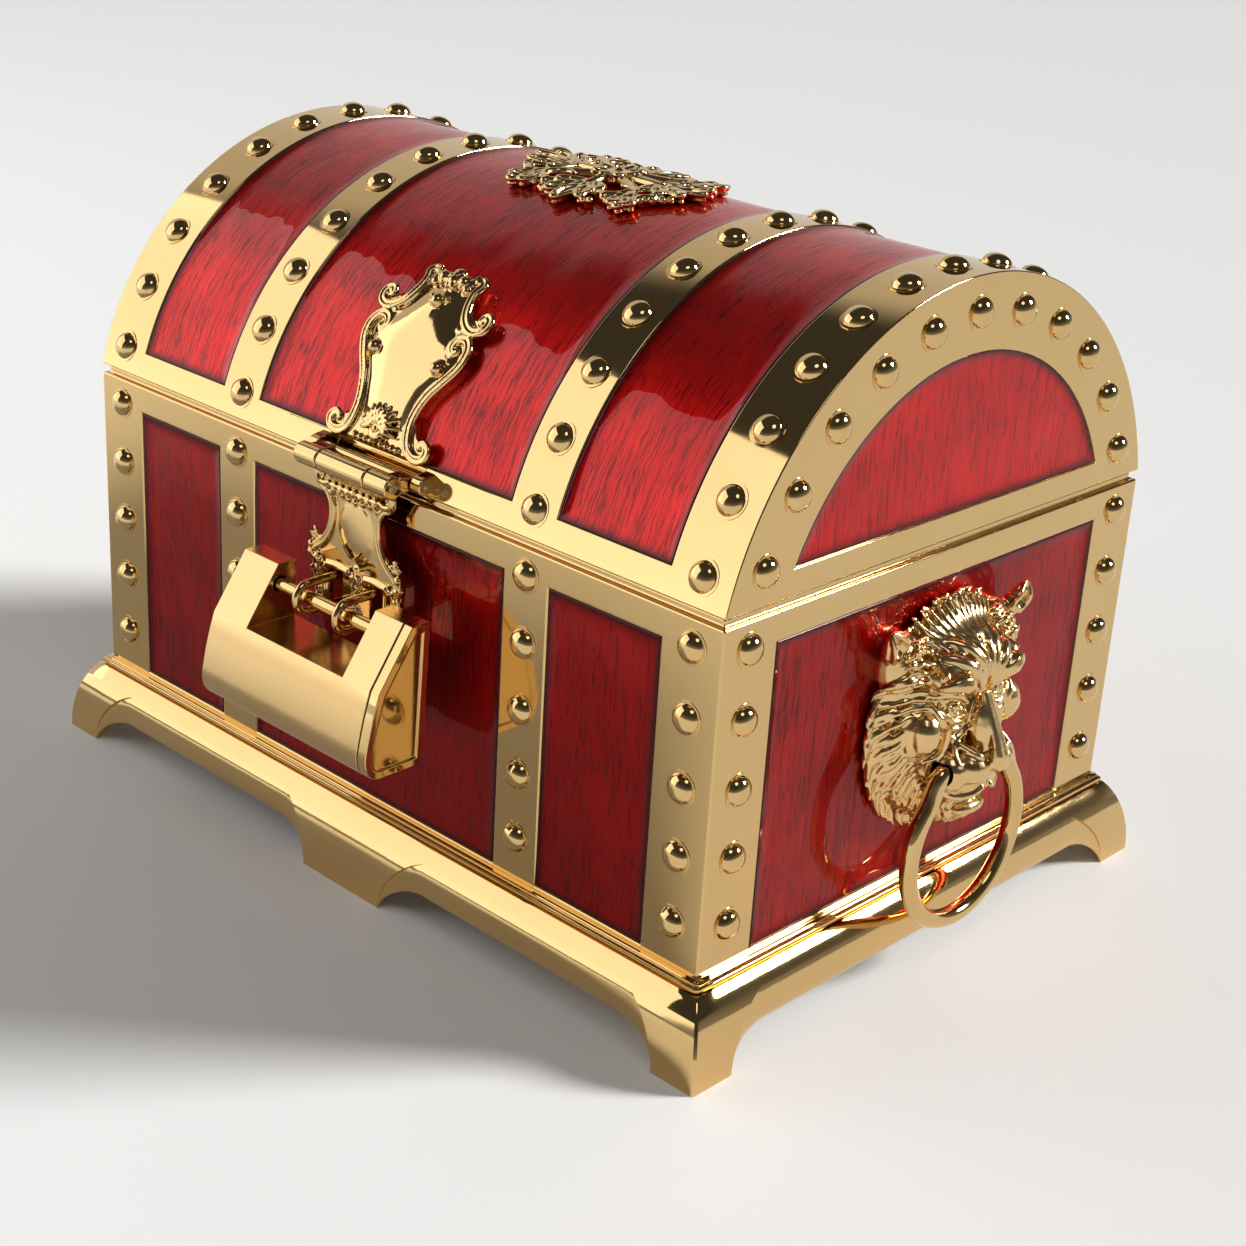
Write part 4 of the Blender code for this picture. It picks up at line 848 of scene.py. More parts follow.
# %% Domes on the lid
BAND_DOMES = 13
END_DOMES = 11
BAND_DOME_RISE = 5.0 * MM
END_DOME_RISE = 6.0 * MM


def make_lid_domes():
    """Thirteen domes over each band and eleven round each end."""
    bm = bmesh.new()
    for index, turn in enumerate(arc_turns(LID_RADIUS, LID_BOTTOM + BAND_DOME_RISE, BAND_DOMES - 1)):
        away = Vector((0, -cos(turn), sin(turn)))
        for side in (-1, 1):
            for x in (HALF_X - DOME_EDGE, MID_BAND_X):
                if x != MID_BAND_X or index < BAND_DOMES - 1:
                    stamp(bm, DOME, facing(away, on_arc(side * x, turn)))
    ring = LID_RADIUS - DOME_EDGE
    for turn in arc_turns(ring, LID_BOTTOM + END_DOME_RISE, END_DOMES - 1):
        for side in (-1, 1):
            stamp(bm, DOME, facing((side, 0, 0), on_arc(side * HALF_X, turn, ring)))
    return finish_piece("lid_domes", bm, GOLD, "lid", turn=False)


make_lid_domes()

# %% [markdown]
# ## Enamel panels
# Liquid enamel is poured into each field, so its surface is never flat: it climbs the frame at
# the rim and lies in soft waves. Each panel is a fine grid whose lines crowd together near
# the rim, bent to its place. Heights come from a climbing curve plus slow noise, and a live
# Solidify gives the panel its thickness. The waves are real shape, because the clear coat's
# reflections wander over them.

# %% Panel helper
ENAMEL_LEVEL = 0.62 * MM
ENAMEL_CLIMB = 0.42 * MM
ENAMEL_THICK = 0.75 * MM
RIM_REACH = 1.3 * MM
RIM_STAIN = 1.1 * MM
PANEL_GAP = 0.05 * MM
LEAST_WIDTH = 0.02 * MM
WAVE_DEPTH = 0.085 * MM
CLIMB_CURVE = 1.5
SLOW_WAVE = (9 * MM, 15 * MM)
QUICK_WAVE = (3.6 * MM, 6 * MM)
QUICK_SHARE = 0.3
CROWD = 0.55
GRID_PITCH = 0.9 * MM


def ease(t):
    """Crowd evenly spaced values from -1 to 1 towards both ends."""
    return (1 - CROWD) * t + CROWD * sin(t * pi / 2)


def wave(across, along, size, seed):
    """Slow noise over a panel."""
    return noise.noise(Vector((across / size[0], along / size[1], seed)))


def enamel_height(across, along, rim, seed):
    """Height below the frame's face, from the distance to the rim and slow waves."""
    climb = exp(-(rim / RIM_REACH) ** CLIMB_CURVE) * ENAMEL_CLIMB
    quick = wave(across, along, QUICK_WAVE, seed + 7)
    waves = wave(across, along, SLOW_WAVE, seed) + QUICK_SHARE * quick
    calm = 1 - exp(-rim / RIM_REACH)
    return climb - ENAMEL_LEVEL + WAVE_DEPTH * waves * calm


def enamel_panel(name, size, place, body, seed, distance=None, chord=None):
    """One panel: size is half width and half length, place turns (across, along, height) to a point."""
    half_w, half_l = size[0] - PANEL_GAP, size[1] - PANEL_GAP
    bm = bmesh.new()
    bmesh.ops.create_grid(bm, x_segments=max(8, int(2 * half_w / GRID_PITCH)),
                          y_segments=max(8, int(2 * half_l / GRID_PITCH)), size=1)
    stain = bm.verts.layers.float.new("rim")
    uv = bm.loops.layers.uv.new("UVMap")
    flat = {}
    for vert in bm.verts:
        along = ease(vert.co.y) * half_l
        width = half_w if chord is None else max(chord(along) - PANEL_GAP, LEAST_WIDTH)
        across = ease(vert.co.x) * width
        rim = min(width - abs(across), half_l - abs(along))
        if distance is not None:
            rim = min(rim, max(distance(across, along), 0))
        vert[stain] = exp(-(rim / RIM_STAIN) ** 2)
        flat[vert] = (across, along)
        vert.co = place(across, along, enamel_height(across, along, rim, seed))
    for face in bm.faces:
        for loop in face.loops:
            loop[uv].uv = flat[loop.vert]
    # Tub panels take the darker copy of the enamel, whose darkness is painted shade.
    enamel = LID_ENAMEL if body == "lid" else TUB_ENAMEL_PAINTED_SHADE
    piece = finish_piece(f"{name}_fill", bm, enamel, body, [name], turn=False)
    shell = piece.modifiers.new("thickness", "SOLIDIFY")
    shell.thickness = ENAMEL_THICK
    shell.offset = -1


def end_place(side, centre_z):
    """How a panel lies on an end of the chest."""
    return lambda across, along, height: Vector((side * (HALF_X + height), MID_Y + side * across,
                                                 centre_z + along))


# %% Panels of the tub
FIELD_HALF = (FIELD_TOP - FIELD_FOOT) / 2
FIELD_MID = (FIELD_TOP + FIELD_FOOT) / 2
ENDS = (("right", 1), ("left", -1))


def wall_place(side, face, centre):
    """How a panel lies on the front (side -1) or the back (side 1) of the tub."""
    return lambda across, along, height: Vector((centre - side * across, face + side * height,
                                                 FIELD_MID + along))


def make_tub_panels():
    """Three panels in front, three behind and one on each end."""
    for index, (name, low, high) in enumerate(SPANS):
        size = ((high - low) / 2, FIELD_HALF)
        centre = (low + high) / 2
        enamel_panel(f"enamel_front_{name}", size, wall_place(-1, FRONT, centre), "root", index)
        enamel_panel(f"enamel_back_{name}", size, wall_place(1, BACK, centre), "root", index + 10)
    for name, side in ENDS:
        size = (HALF_Y - CORNER_POST, FIELD_HALF)
        enamel_panel(f"enamel_end_{name}", size, end_place(side, FIELD_MID), "root", 20 + side)


make_tub_panels()


# %% Panels of the lid
def make_lid_panels():
    """Three panels over the barrel and a half-round one on each end."""
    middle = LID_RADIUS * pi / 2
    half_arc = middle - LID_RADIUS * PANEL_ANGLE
    for index, (name, low, high) in enumerate(SPANS):
        def over(across, along, height, centre=(low + high) / 2):
            return on_lid(centre + across, middle + along, height)

        enamel_panel(f"enamel_lid_{name}", ((high - low) / 2, half_arc), over, "lid", index + 30)
    radius = LID_RADIUS - END_BORDER
    foot = LID_BOTTOM + LID_RAIL
    half_rise = (LID_AXIS_Z + radius - foot) / 2
    centre_z = foot + half_rise

    def chord(along):
        return sqrt(max(radius ** 2 - (centre_z + along - LID_AXIS_Z) ** 2, 0))

    def to_arc(across, along):
        return radius - hypot(across, centre_z + along - LID_AXIS_Z)

    for name, side in ENDS:
        enamel_panel(f"enamel_lid_end_{name}", (radius, half_rise), end_place(side, centre_z), "lid",
                     40 + side, to_arc, chord)


make_lid_panels()

# %% [markdown]
# ## Lofts, cuts and fused castings
# Three helpers make the rest of the hardware. A loft extrudes a loop of edges from ring to ring
# and moves each new point to its place, which suits mouldings and scrolls. A cut applies an
# exact Boolean and keeps its result. Fusing turns overlapping closed shapes into one skin with a
# fine voxel grid, then smooths it a little, as molten metal softens the corners of a mould.

# %% Modelling helpers
def thick_outline(points, step):
    """A flat closed outline, filled and extruded."""
    bm = bmesh.new()
    edges = chain(bm, points, closed=True)[1]
    faces = bmesh.ops.edgeloop_fill(bm, edges=edges)["faces"]
    grown = bmesh.ops.extrude_face_region(bm, geom=faces)["geom"]
    bmesh.ops.translate(bm, vec=step, verts=only(BMVert, grown))
    bmesh.ops.recalc_face_normals(bm, faces=bm.faces)
    return bm


def bar_along_x(outline, low, high):
    """A closed outline of (Y, Z) points extruded along X."""
    return thick_outline([(low, y, z) for y, z in outline], (high - low, 0, 0))


def rod_mesh(radius, start, end, sides=32):
    """A round rod between two points."""
    start, end = Vector(start), Vector(end)
    bm = bmesh.new()
    middle = facing(end - start, (start + end) / 2)
    bmesh.ops.create_cone(bm, cap_ends=True, segments=sides, radius1=radius, radius2=radius,
                          depth=(end - start).length, matrix=middle)
    return bm


def rod_along_x(radius, low, high, axis, sides=32):
    """A round rod along X at a (Y, Z) place."""
    return rod_mesh(radius, (low, *axis), (high, *axis), sides)


def gathered(parts):
    """Several bmeshes as one."""
    bm = bmesh.new()
    for part in parts:
        mesh = mesh_from("part", part)
        bm.from_mesh(mesh)
        bpy.data.meshes.remove(mesh)
    return bm


def settled(item, tools=()):
    """The evaluated mesh of a working object as a bmesh; removes the object and its tools."""
    evaluated = item.evaluated_get(bpy.context.evaluated_depsgraph_get())
    bm = bmesh.new()
    bm.from_mesh(evaluated.to_mesh())
    evaluated.to_mesh_clear()
    for used in (item, *tools):
        mesh = used.data
        bpy.data.objects.remove(used)
        bpy.data.meshes.remove(mesh)
    return bm


def cut(bm, others):
    """Cut other bmeshes from one."""
    item, *tools = [scene_object("working", mesh_from("working", each)) for each in (bm, *others)]
    for tool in tools:
        step = item.modifiers.new("step", "BOOLEAN")
        step.operation = "DIFFERENCE"
        step.object = tool
    return settled(item, tools)


def soften(bm, verts, times):
    """Smooth some points a few times."""
    for _ in range(times):
        bmesh.ops.smooth_vert(bm, verts=verts, factor=0.5, use_axis_x=True, use_axis_y=True, use_axis_z=True)


def fused(parts, grain, softening=1):
    """One skin round overlapping closed shapes, slightly smoothed."""
    item = scene_object("working", mesh_from("working", gathered(parts)))
    voxels = item.modifiers.new("voxels", "REMESH")
    voxels.mode = "VOXEL"
    voxels.voxel_size = grain
    bm = settled(item)
    soften(bm, bm.verts, softening)
    return bm


def loft(rings, closed=False):
    """Extrude a loop of edges through rings of matching points; closed joins last to first."""
    bm = bmesh.new()
    ring, edges = chain(bm, rings[0], closed=True)
    start_edges = edges
    for points in rings[1:] + (rings[:1] if closed else []):
        grown = bmesh.ops.extrude_edge_only(bm, edges=edges)["geom"]
        order = {vert: index for index, vert in enumerate(ring)}
        ring = [None] * len(points)
        for vert in only(BMVert, grown):
            index = next(order[edge.other_vert(vert)] for edge in vert.link_edges
                         if edge.other_vert(vert) in order)
            vert.co = points[index]
            ring[index] = vert
        edges = only(BMEdge, grown)
    if closed:
        merge_doubles(bm)
    else:
        bmesh.ops.edgeloop_fill(bm, edges=start_edges)
        bmesh.ops.edgeloop_fill(bm, edges=edges)
    bmesh.ops.recalc_face_normals(bm, faces=bm.faces)
    return bm


def smooth_path(points, steps=6):
    """A smooth curve through a few points."""
    points = [Vector(point) for point in points]
    ends = [points[0] * 2 - points[1]] + points + [points[-1] * 2 - points[-2]]
    path = []
    for a, b, c, d in zip(ends, ends[1:], ends[2:], ends[3:]):
        for index in range(steps):
            t = index / steps
            path.append(0.5 * (2 * b + (c - a) * t + (2 * a - 5 * b + 4 * c - d) * t * t
                               + (3 * b - a - 3 * c + d) * t ** 3))
    return path + [points[-1]]


def swept(path, radii, up=(0, 0, 1), sides=8, flat=1.0):
    """A round bar along a path, thicker or thinner from point to point."""
    up = Vector(up)
    rings = []
    last = len(path) - 1
    for index, point in enumerate(path):
        along = (path[min(index + 1, last)] - path[max(index - 1, 0)]).normalized()
        across = along.cross(up).normalized()
        lift = across.cross(along)
        place = index / last * (len(radii) - 1)
        low = min(int(place), len(radii) - 2)
        radius = radii[low] + (radii[low + 1] - radii[low]) * (place - low)
        turns = [tau * side / sides for side in range(sides)]
        rings.append([point + (across * cos(turn) + lift * sin(turn) * flat) * radius for turn in turns])
    return loft(rings)


# %% [markdown]
# ## The plinth
# The plinth is a moulding that runs round the tub: a bead and a fine groove on top, a flared
# band, and between the feet a soft roll set back under a thin step. At a foot the step swings
# down to the toe and the band takes the whole height. One profile with two moving heights gives
# all of it: the step's height and the lower edge's height change from station to station. The
# corners are mitred, with a narrow flat between the two sides.

# %% Plinth
SEAT_Z = 16.9 * MM
SEAT_WIDTH = 9.0 * MM
SEAT_THICK = 2.4 * MM
SKIRT_REACH = 6.9 * MM
LEDGE_REACH = 1.1 * MM
BEAD = 0.6 * MM
BAND_TOP = 15.2 * MM
STEP_Z = 12.5 * MM
STEP_DEPTH = 0.55 * MM
ARCH_RISE = 6.0 * MM
ROLL_TURN = 1.5 * MM
SKIRT_WALL = 2.2 * MM
CORNER_FOOT = 9.8 * MM
CENTRE_FOOT = 22.4 * MM
FOOT_SWING = 9.5 * MM
MITRE = 0.45 * MM
TOE = (0.06 * MM, 0.0)
FLARE_OVAL = (SKIRT_REACH * 1.22, BAND_TOP * 1.107)
FADE_STEP = 0.4 * STEP_Z
SWING_CROWD = 1.6
BAND_STEPS = 24
ROLL_STEPS = 9
SWING_STEPS = 20


def flare(z):
    """Reach of the skirt's outer curve at a height."""
    semi_x, semi_z = FLARE_OVAL
    return SKIRT_REACH - semi_x + semi_x * sqrt(1 - (z / semi_z) ** 2)


def skirt_profile(step_z, edge_z):
    """Closed loop of (reach, height) points at one station."""
    fade = min((step_z - edge_z) / FADE_STEP, 1)
    points = [
        (-SEAT_WIDTH, SEAT_Z), (LEDGE_REACH - 0.25 * BEAD, SEAT_Z), (LEDGE_REACH, SEAT_Z - 0.25 * BEAD),
        (LEDGE_REACH, SEAT_Z - 0.9 * BEAD), (LEDGE_REACH + 0.75 * BEAD, SEAT_Z - BEAD),
        (LEDGE_REACH + BEAD, SEAT_Z - 1.25 * BEAD), (LEDGE_REACH + BEAD, SEAT_Z - 1.9 * BEAD),
        (LEDGE_REACH, SEAT_Z - 2.0 * BEAD), (LEDGE_REACH, BAND_TOP),
    ]
    for index in range(BAND_STEPS + 1):
        z = BAND_TOP + (step_z - BAND_TOP) * index / BAND_STEPS
        points.append((flare(z), z))
    for index in range(ROLL_STEPS + 1):
        turn = pi / 2 * index / ROLL_STEPS
        z = step_z - 0.05 * MM - (step_z - edge_z) * sin(turn) * 0.98
        reach = flare(max(z, 0)) - fade * (STEP_DEPTH + ROLL_TURN * (1 - cos(turn)))
        points.append((reach, max(z, 0)))
    last = points[-1][0]
    points += [
        (last - SKIRT_WALL * 0.6, max(edge_z, 0)), (last - SKIRT_WALL, edge_z + 1.2 * MM),
        (LEDGE_REACH, 0.8 * BAND_TOP), (-1 * MM, SEAT_Z - SEAT_THICK), (-SEAT_WIDTH, SEAT_Z - SEAT_THICK),
    ]
    return points


def swing(share):
    """Heights of the step and the lower edge on the way from a toe to the arch."""
    rise = 0.75 * sqrt(1 - (1 - share) ** 2) + 0.25 * share
    return STEP_Z * rise, ARCH_RISE * rise


def half_side(toe_far, toe_near):
    """Stations of half a side, from the corner's toe inwards; toe_near is None without a middle foot."""
    shares = [(index / SWING_STEPS) ** SWING_CROWD for index in range(1, SWING_STEPS + 1)]
    stations = [(toe_far, *TOE)] + [(toe_far - FOOT_SWING * share, *swing(share)) for share in shares]
    if toe_near is None:
        return stations + [(0, *swing(1))]
    stations += [(toe_near + FOOT_SWING * share, *swing(share)) for share in reversed(shares)]
    return stations + [(toe_near, *TOE)]


def whole_side(half):
    """A side's stations from one corner to the other."""
    other = [(-place, step_z, edge_z) for place, step_z, edge_z in reversed(half)]
    return half + (other[1:] if half[-1][0] == 0 else other)


def make_plinth():
    """Loft the moulding round the tub."""
    long_side = whole_side(half_side(HALF_X + SKIRT_REACH - CORNER_FOOT, CENTRE_FOOT / 2))
    short_side = whole_side(half_side(HALF_Y + SKIRT_REACH - CORNER_FOOT, None))
    beyond = HALF_X + HALF_Y
    rings = []
    for turn in range(4):
        side, half, depth = ((long_side, HALF_X, HALF_Y), (short_side, HALF_Y, HALF_X))[turn % 2]
        spin = Matrix.Translation((0, MID_Y, 0)) @ Matrix.Rotation(turn * pi / 2, 4, "Z")
        for place, step_z, edge_z in [(-beyond, *TOE), *reversed(side), (beyond, *TOE)]:
            ring = []
            for reach, z in skirt_profile(step_z, edge_z):
                limit = half + reach - MITRE
                ring.append(spin @ Vector((max(-limit, min(place, limit)), -depth - reach, z)))
            rings.append(ring)
    return finish_piece("plinth_moulding", loft(rings, closed=True), GOLD, "root", ["plinth"])


make_plinth()

# %% [markdown]
# ## Board, screws and linings
# Under the tub a flocked board keeps the table safe, and four screws come up through the
# plinth's seat. A screw is a turned shape with a cross cut into its head. The tub and the lid are
# lined with thin boards wrapped in flock. They follow the walls at a small gap, and their edges
# are rounded over, as cloth is when it goes round a board. The tub's lining is a box with its top
# pushed down. The lid's is a barrel with a smaller barrel cut out of it.

# %% Base board and screws
PAD_MARGIN = 14.0 * MM
PAD_THICK = 1.2 * MM
PAD_CORNER = 4 * MM
SCREW_HEAD = 2.6 * MM
SCREW_HEAD_THICK = 1.5 * MM
SCREW_SHANK = [(1.2 * MM, 0), (1.2 * MM, 3.8 * MM), (0, 4.4 * MM)]
SCREW_GAP = 0.3 * MM
CROSS_ARM = (1.5 * MM, 0.28 * MM)
CROSS_FLOOR = -0.8 * MM
SCREW_INSET = SEAT_WIDTH / 2


def make_base_board():
    """The board, with rounded corners."""
    x, y = HALF_X - PAD_MARGIN, HALF_Y - PAD_MARGIN
    bm = box_mesh((-x, MID_Y - y, SEAT_Z - PAD_THICK), (x, MID_Y + y, SEAT_Z))
    upright = [edge for edge in bm.edges if abs(edge.verts[0].co.z - edge.verts[1].co.z) > PAD_THICK / 2]
    bmesh.ops.bevel(bm, geom=upright, offset=PAD_CORNER, offset_type="OFFSET", segments=6, profile=0.5,
                    affect="EDGES", material=-1)
    return finish_piece("base_board", bm, BLACK_FLOCK, "root", ["base_pad"], bevel=0.3 * MM)


def make_screw(index, x, y):
    """A pan-head screw with a crossed recess."""
    profile = [(0, -SCREW_HEAD_THICK)]
    for turn in range(0, 91, 15):
        radius = SCREW_HEAD * (0.55 + 0.45 * sin(radians(turn)))
        profile.append((radius, -SCREW_HEAD_THICK * cos(radians(turn))))
    cross = [box_mesh((-a, -b, -2 * MM), (a, b, CROSS_FLOOR)) for a, b in (CROSS_ARM, CROSS_ARM[::-1])]
    bm = cut(turned(profile + SCREW_SHANK, 32), cross)
    bmesh.ops.translate(bm, vec=(x, y, SEAT_Z - SEAT_THICK - SCREW_GAP), verts=bm.verts)
    return finish_piece(f"screw_{index}", bm, STEEL, "root", [f"plinth_screw_{index}"])


make_base_board()
SCREW_PLACES = [(sx * (HALF_X - SCREW_INSET), MID_Y + sy * (HALF_Y - SCREW_INSET))
                for sx in (-1, 1) for sy in (-1, 1)]
for number, place in enumerate(SCREW_PLACES, start=1):
    make_screw(number, *place)

# %% Linings
LINING = 1.2 * MM
GAP = 0.3 * MM
HOLLOW_DROP = 0.01 * MM


def make_tub_lining():
    """The tub's lining: floor and four walls with a rounded top edge."""
    out_x, out_y = HALF_X - TUB_WALL - GAP, HALF_Y - TUB_WALL - GAP
    floor = TUB_BOTTOM + TUB_FLOOR + GAP
    bm = box_mesh((-out_x, MID_Y - out_y, floor), (out_x, MID_Y + out_y, TUB_TOP))
    top = looking(bm, (0, 0, 1))
    bmesh.ops.inset_region(bm, faces=top, thickness=LINING, use_even_offset=True)
    push(bm, top, (0, 0, -(TUB_TOP - floor - LINING)))
    return finish_piece("tub_cloth", bm, RED_FLOCK, "root", ["tub_lining"], bevel=0.5 * MM)


def make_lid_lining():
    """The lid's lining: a barrel hollowed by a smaller one that reaches out below."""
    length = HALF_X - LID_WALL - GAP
    outer = LID_RADIUS - LID_WALL - GAP
    bottom = LID_BOTTOM + GAP
    barrels = []
    for half, radius in ((length, outer), (length - LINING, outer - LINING)):
        turns = arc_turns(radius, bottom, ARC_STEPS)
        barrels.append(loft([[on_arc(x, turn, radius) for turn in turns] for x in (-half, half)]))
    shell, hollow = barrels
    bmesh.ops.translate(hollow, vec=(0, 0, -HOLLOW_DROP), verts=hollow.verts)
    feet = [vert for vert in hollow.verts if vert.co.z < bottom + NEAR_FOOT]
    bmesh.ops.translate(hollow, vec=(0, 0, -2 * MM), verts=feet)
    bm = cut(shell, [hollow])
    return finish_piece("lid_cloth", bm, RED_FLOCK, "lid", ["lid_lining"], bevel=0.4 * MM)


make_tub_lining()
make_lid_lining()

# %% [markdown]
# ## Rear hinges
# Each rear hinge has a leaf riveted to the tub, a leaf on the lid and a thin steel pin. The
# barrels are round rods between the two leaves, and a small gap shows where they meet.

# %% Hinges
HINGE_LENGTH = 16.0 * MM
HINGE_KNUCKLE = 2.1 * MM
HINGE_MIDDLE = 6.4 * MM
HINGE_PIN = 0.8 * MM
HINGE_PIN_END = 0.4 * MM
HINGE_LEAF = 1.0 * MM
HINGE_FALL = 4.2 * MM
HINGE_CLIMB = 3.4 * MM
HINGE_ROUND = 0.22 * MM
RIVET_RADIUS = 1.0 * MM
RIVET_RISE = 0.35 * MM
RIVET_X = 5.4 * MM
RIVET_DROP = 2.4 * MM
HINGE_Y = BACK + HINGE_KNUCKLE + 0.6 * MM
HINGE_Z = (TUB_TOP + LID_BOTTOM) / 2
HINGE_AXIS = (HINGE_Y, HINGE_Z)


def lid_back(z):
    """Y of the lid's rear surface at a height."""
    return MID_Y + sqrt(LID_RADIUS ** 2 - (z - LID_AXIS_Z) ** 2)


def lower_leaf(name, centre):
    """The tub's leaf: a plate, two knuckles on webs and two rivets."""
    end, middle = HINGE_LENGTH / 2, HINGE_MIDDLE / 2
    face = BACK + GAP
    top = HINGE_Z - HINGE_KNUCKLE - GAP
    parts = [box_mesh((centre - end, face, top - HINGE_FALL), (centre + end, face + HINGE_LEAF, top))]
    for sign in (-1, 1):
        low, high = sorted((centre + sign * (middle + GAP), centre + sign * end))
        parts.append(rod_along_x(HINGE_KNUCKLE, low, high, HINGE_AXIS, 40))
        parts.append(box_mesh((low, face, top - HINGE_LEAF), (high, HINGE_Y, HINGE_Z - HINGE_PIN - GAP)))
    for sign in (-1, 1):
        x, z = centre + sign * RIVET_X, top - RIVET_DROP
        parts.append(rod_mesh(RIVET_RADIUS, (x, face, z), (x, face + HINGE_LEAF + RIVET_RISE, z)))
    finish_piece(f"hinge_lower_{name}", gathered(parts), GOLD, "root",
                 [f"hinge_base_leaf_{name}"], bevel=HINGE_ROUND)


def upper_leaf(name, centre):
    """The lid's leaf: a plate that follows the barrel, the middle knuckle and its web."""
    end, middle = HINGE_LENGTH / 2, HINGE_MIDDLE / 2
    low_z = HINGE_Z + HINGE_KNUCKLE + GAP
    high_z = low_z + HINGE_CLIMB
    low_y, high_y = lid_back(low_z) + GAP, lid_back(high_z) + GAP
    plate = [(low_y, low_z), (low_y + HINGE_LEAF, low_z), (high_y + HINGE_LEAF, high_z), (high_y, high_z)]
    web_z = HINGE_Z + HINGE_PIN
    web = [(BACK + GAP, web_z + GAP), (HINGE_Y, web_z + GAP), (HINGE_Y, web_z + HINGE_LEAF),
           (low_y + HINGE_LEAF, low_z + HINGE_LEAF), (low_y + GAP, low_z + HINGE_LEAF),
           (BACK + GAP, low_z - HINGE_LEAF)]
    parts = [bar_along_x(plate, centre - end, centre + end),
             rod_along_x(HINGE_KNUCKLE, centre - middle, centre + middle, HINGE_AXIS, 40),
             bar_along_x(web, centre - middle, centre + middle)]
    finish_piece(f"hinge_upper_{name}", gathered(parts), GOLD, "lid",
                 [f"hinge_lid_leaf_{name}"], bevel=HINGE_ROUND)


def make_hinge(name, centre):
    """Base leaf, lid leaf and pin of one hinge."""
    lower_leaf(name, centre)
    upper_leaf(name, centre)
    half = HINGE_LENGTH / 2 + HINGE_PIN_END
    pin = rod_along_x(HINGE_PIN, centre - half, centre + half, HINGE_AXIS)
    finish_piece(f"hinge_pivot_{name}", pin, STEEL, "root", [f"hinge_pin_{name}"],
                 bevel=0.2 * MM)


for name, side in ENDS:
    make_hinge(name, side * MID_BAND_X)

# %% [markdown]
# ## Hasp lugs and link
# Two lugs stand out of the lid's front rail beside a pocket. A link swings between them on a thin
# pin, and carries the strap on a thicker one. Seen from the front the link is a barrel of three
# parts, so the outer two are rods here and the middle one belongs to the strap.

# %% Lugs, link and pins
LUG_X = POCKET_X
LUG_WIDTH = 2.6 * MM
LUG_RADIUS = 1.7 * MM
LUG_ROOT = FRONT + 2.4 * MM
PIN_Z = LID_BOTTOM + 2.2 * MM
BACK_PIN = (FRONT - 0.9 * MM, PIN_Z)
FRONT_PIN = (BACK_PIN[0] - 5.1 * MM, PIN_Z)
BACK_PIN_RADIUS = 0.5 * MM
FRONT_PIN_RADIUS = 0.9 * MM
PIN_END = 0.15 * MM
LINK_BARREL = 1.2 * MM
LINK_KNUCKLE = 2.1 * MM
LINK_ARM = 4.2 * MM
ARM_RISE = 1.5 * MM
STRAP_KNUCKLE = 13.0 * MM


def make_lugs():
    """The two cast ears on the lid, rounded in front."""
    centre_y = BACK_PIN[0]
    outline = [(LUG_ROOT, POCKET_LOW), (centre_y, PIN_Z - LUG_RADIUS)]
    for turn in range(-75, 76, 15):
        outline.append((centre_y - LUG_RADIUS * cos(radians(turn)), PIN_Z + LUG_RADIUS * sin(radians(turn))))
    outline += [(centre_y, PIN_Z + LUG_RADIUS), (LUG_ROOT, POCKET_HIGH)]
    parts = [bar_along_x(outline, low, low + LUG_WIDTH) for low in (LUG_X, -LUG_X - LUG_WIDTH)]
    return finish_piece("hasp_lugs", gathered(parts), GOLD, "lid", bevel=0.3 * MM)


def make_link():
    """The link: a slim barrel behind, two arms and two knuckles in front."""
    half = LUG_X - GAP
    inner = STRAP_KNUCKLE / 2 + GAP
    arm = [(BACK_PIN[0], PIN_Z - LINK_BARREL), (BACK_PIN[0], PIN_Z + LINK_BARREL),
           (FRONT_PIN[0], PIN_Z + ARM_RISE), (FRONT_PIN[0], PIN_Z - ARM_RISE)]
    parts = [rod_along_x(LINK_BARREL, -half, half, BACK_PIN)]
    for sign in (-1, 1):
        parts.append(rod_along_x(LINK_KNUCKLE, *sorted((sign * inner, sign * half)), FRONT_PIN, 48))
        parts.append(bar_along_x(arm, *sorted((sign * (half - LINK_ARM), sign * half))))
    return finish_piece("link_casting", gathered(parts), GOLD, "hasp_link", ["hasp_link"],
                        bevel=0.28 * MM)


def make_pins():
    """The two pivots of the hasp."""
    half = LUG_X + LUG_WIDTH + PIN_END
    rear = rod_along_x(BACK_PIN_RADIUS, -half, half, BACK_PIN)
    finish_piece("rear_pivot", rear, STEEL, "lid", ["hasp_back_pin"], bevel=0.1 * MM)
    half = LUG_X - GAP + PIN_END
    front = rod_along_x(FRONT_PIN_RADIUS, -half, half, FRONT_PIN)
    finish_piece("front_pivot", front, STEEL, "hasp_link", ["hasp_front_pin"], bevel=0.15 * MM)


make_lugs()
make_link()
make_pins()

# %% [markdown]
# ## Staple loops
# Two eyes on the tub carry the padlock's bar. They are bent from round rod, so each is a circle
# swept along a path: out from the wall, half a turn round the bar, and back. A small collar
# covers the place where the rod enters the wall.

# %% Loops
LOOP_X = 5.7 * MM
LOOP_WIRE = 0.85 * MM
LOOP_MEAN = 2.75 * MM
LOOP_SIDES = 16
LOOP_STEPS = 24
LOOP_ROOT = FRONT + 1.5 * MM
COLLAR_RADIUS = 1.45 * MM
COLLAR = (FRONT + 1.2 * MM, FRONT - 0.1 * MM)
BAR_RADIUS = 1.3 * MM
BAR_Y = FRONT - 10.2 * MM
BAR_Z = TUB_TOP - 21.5 * MM


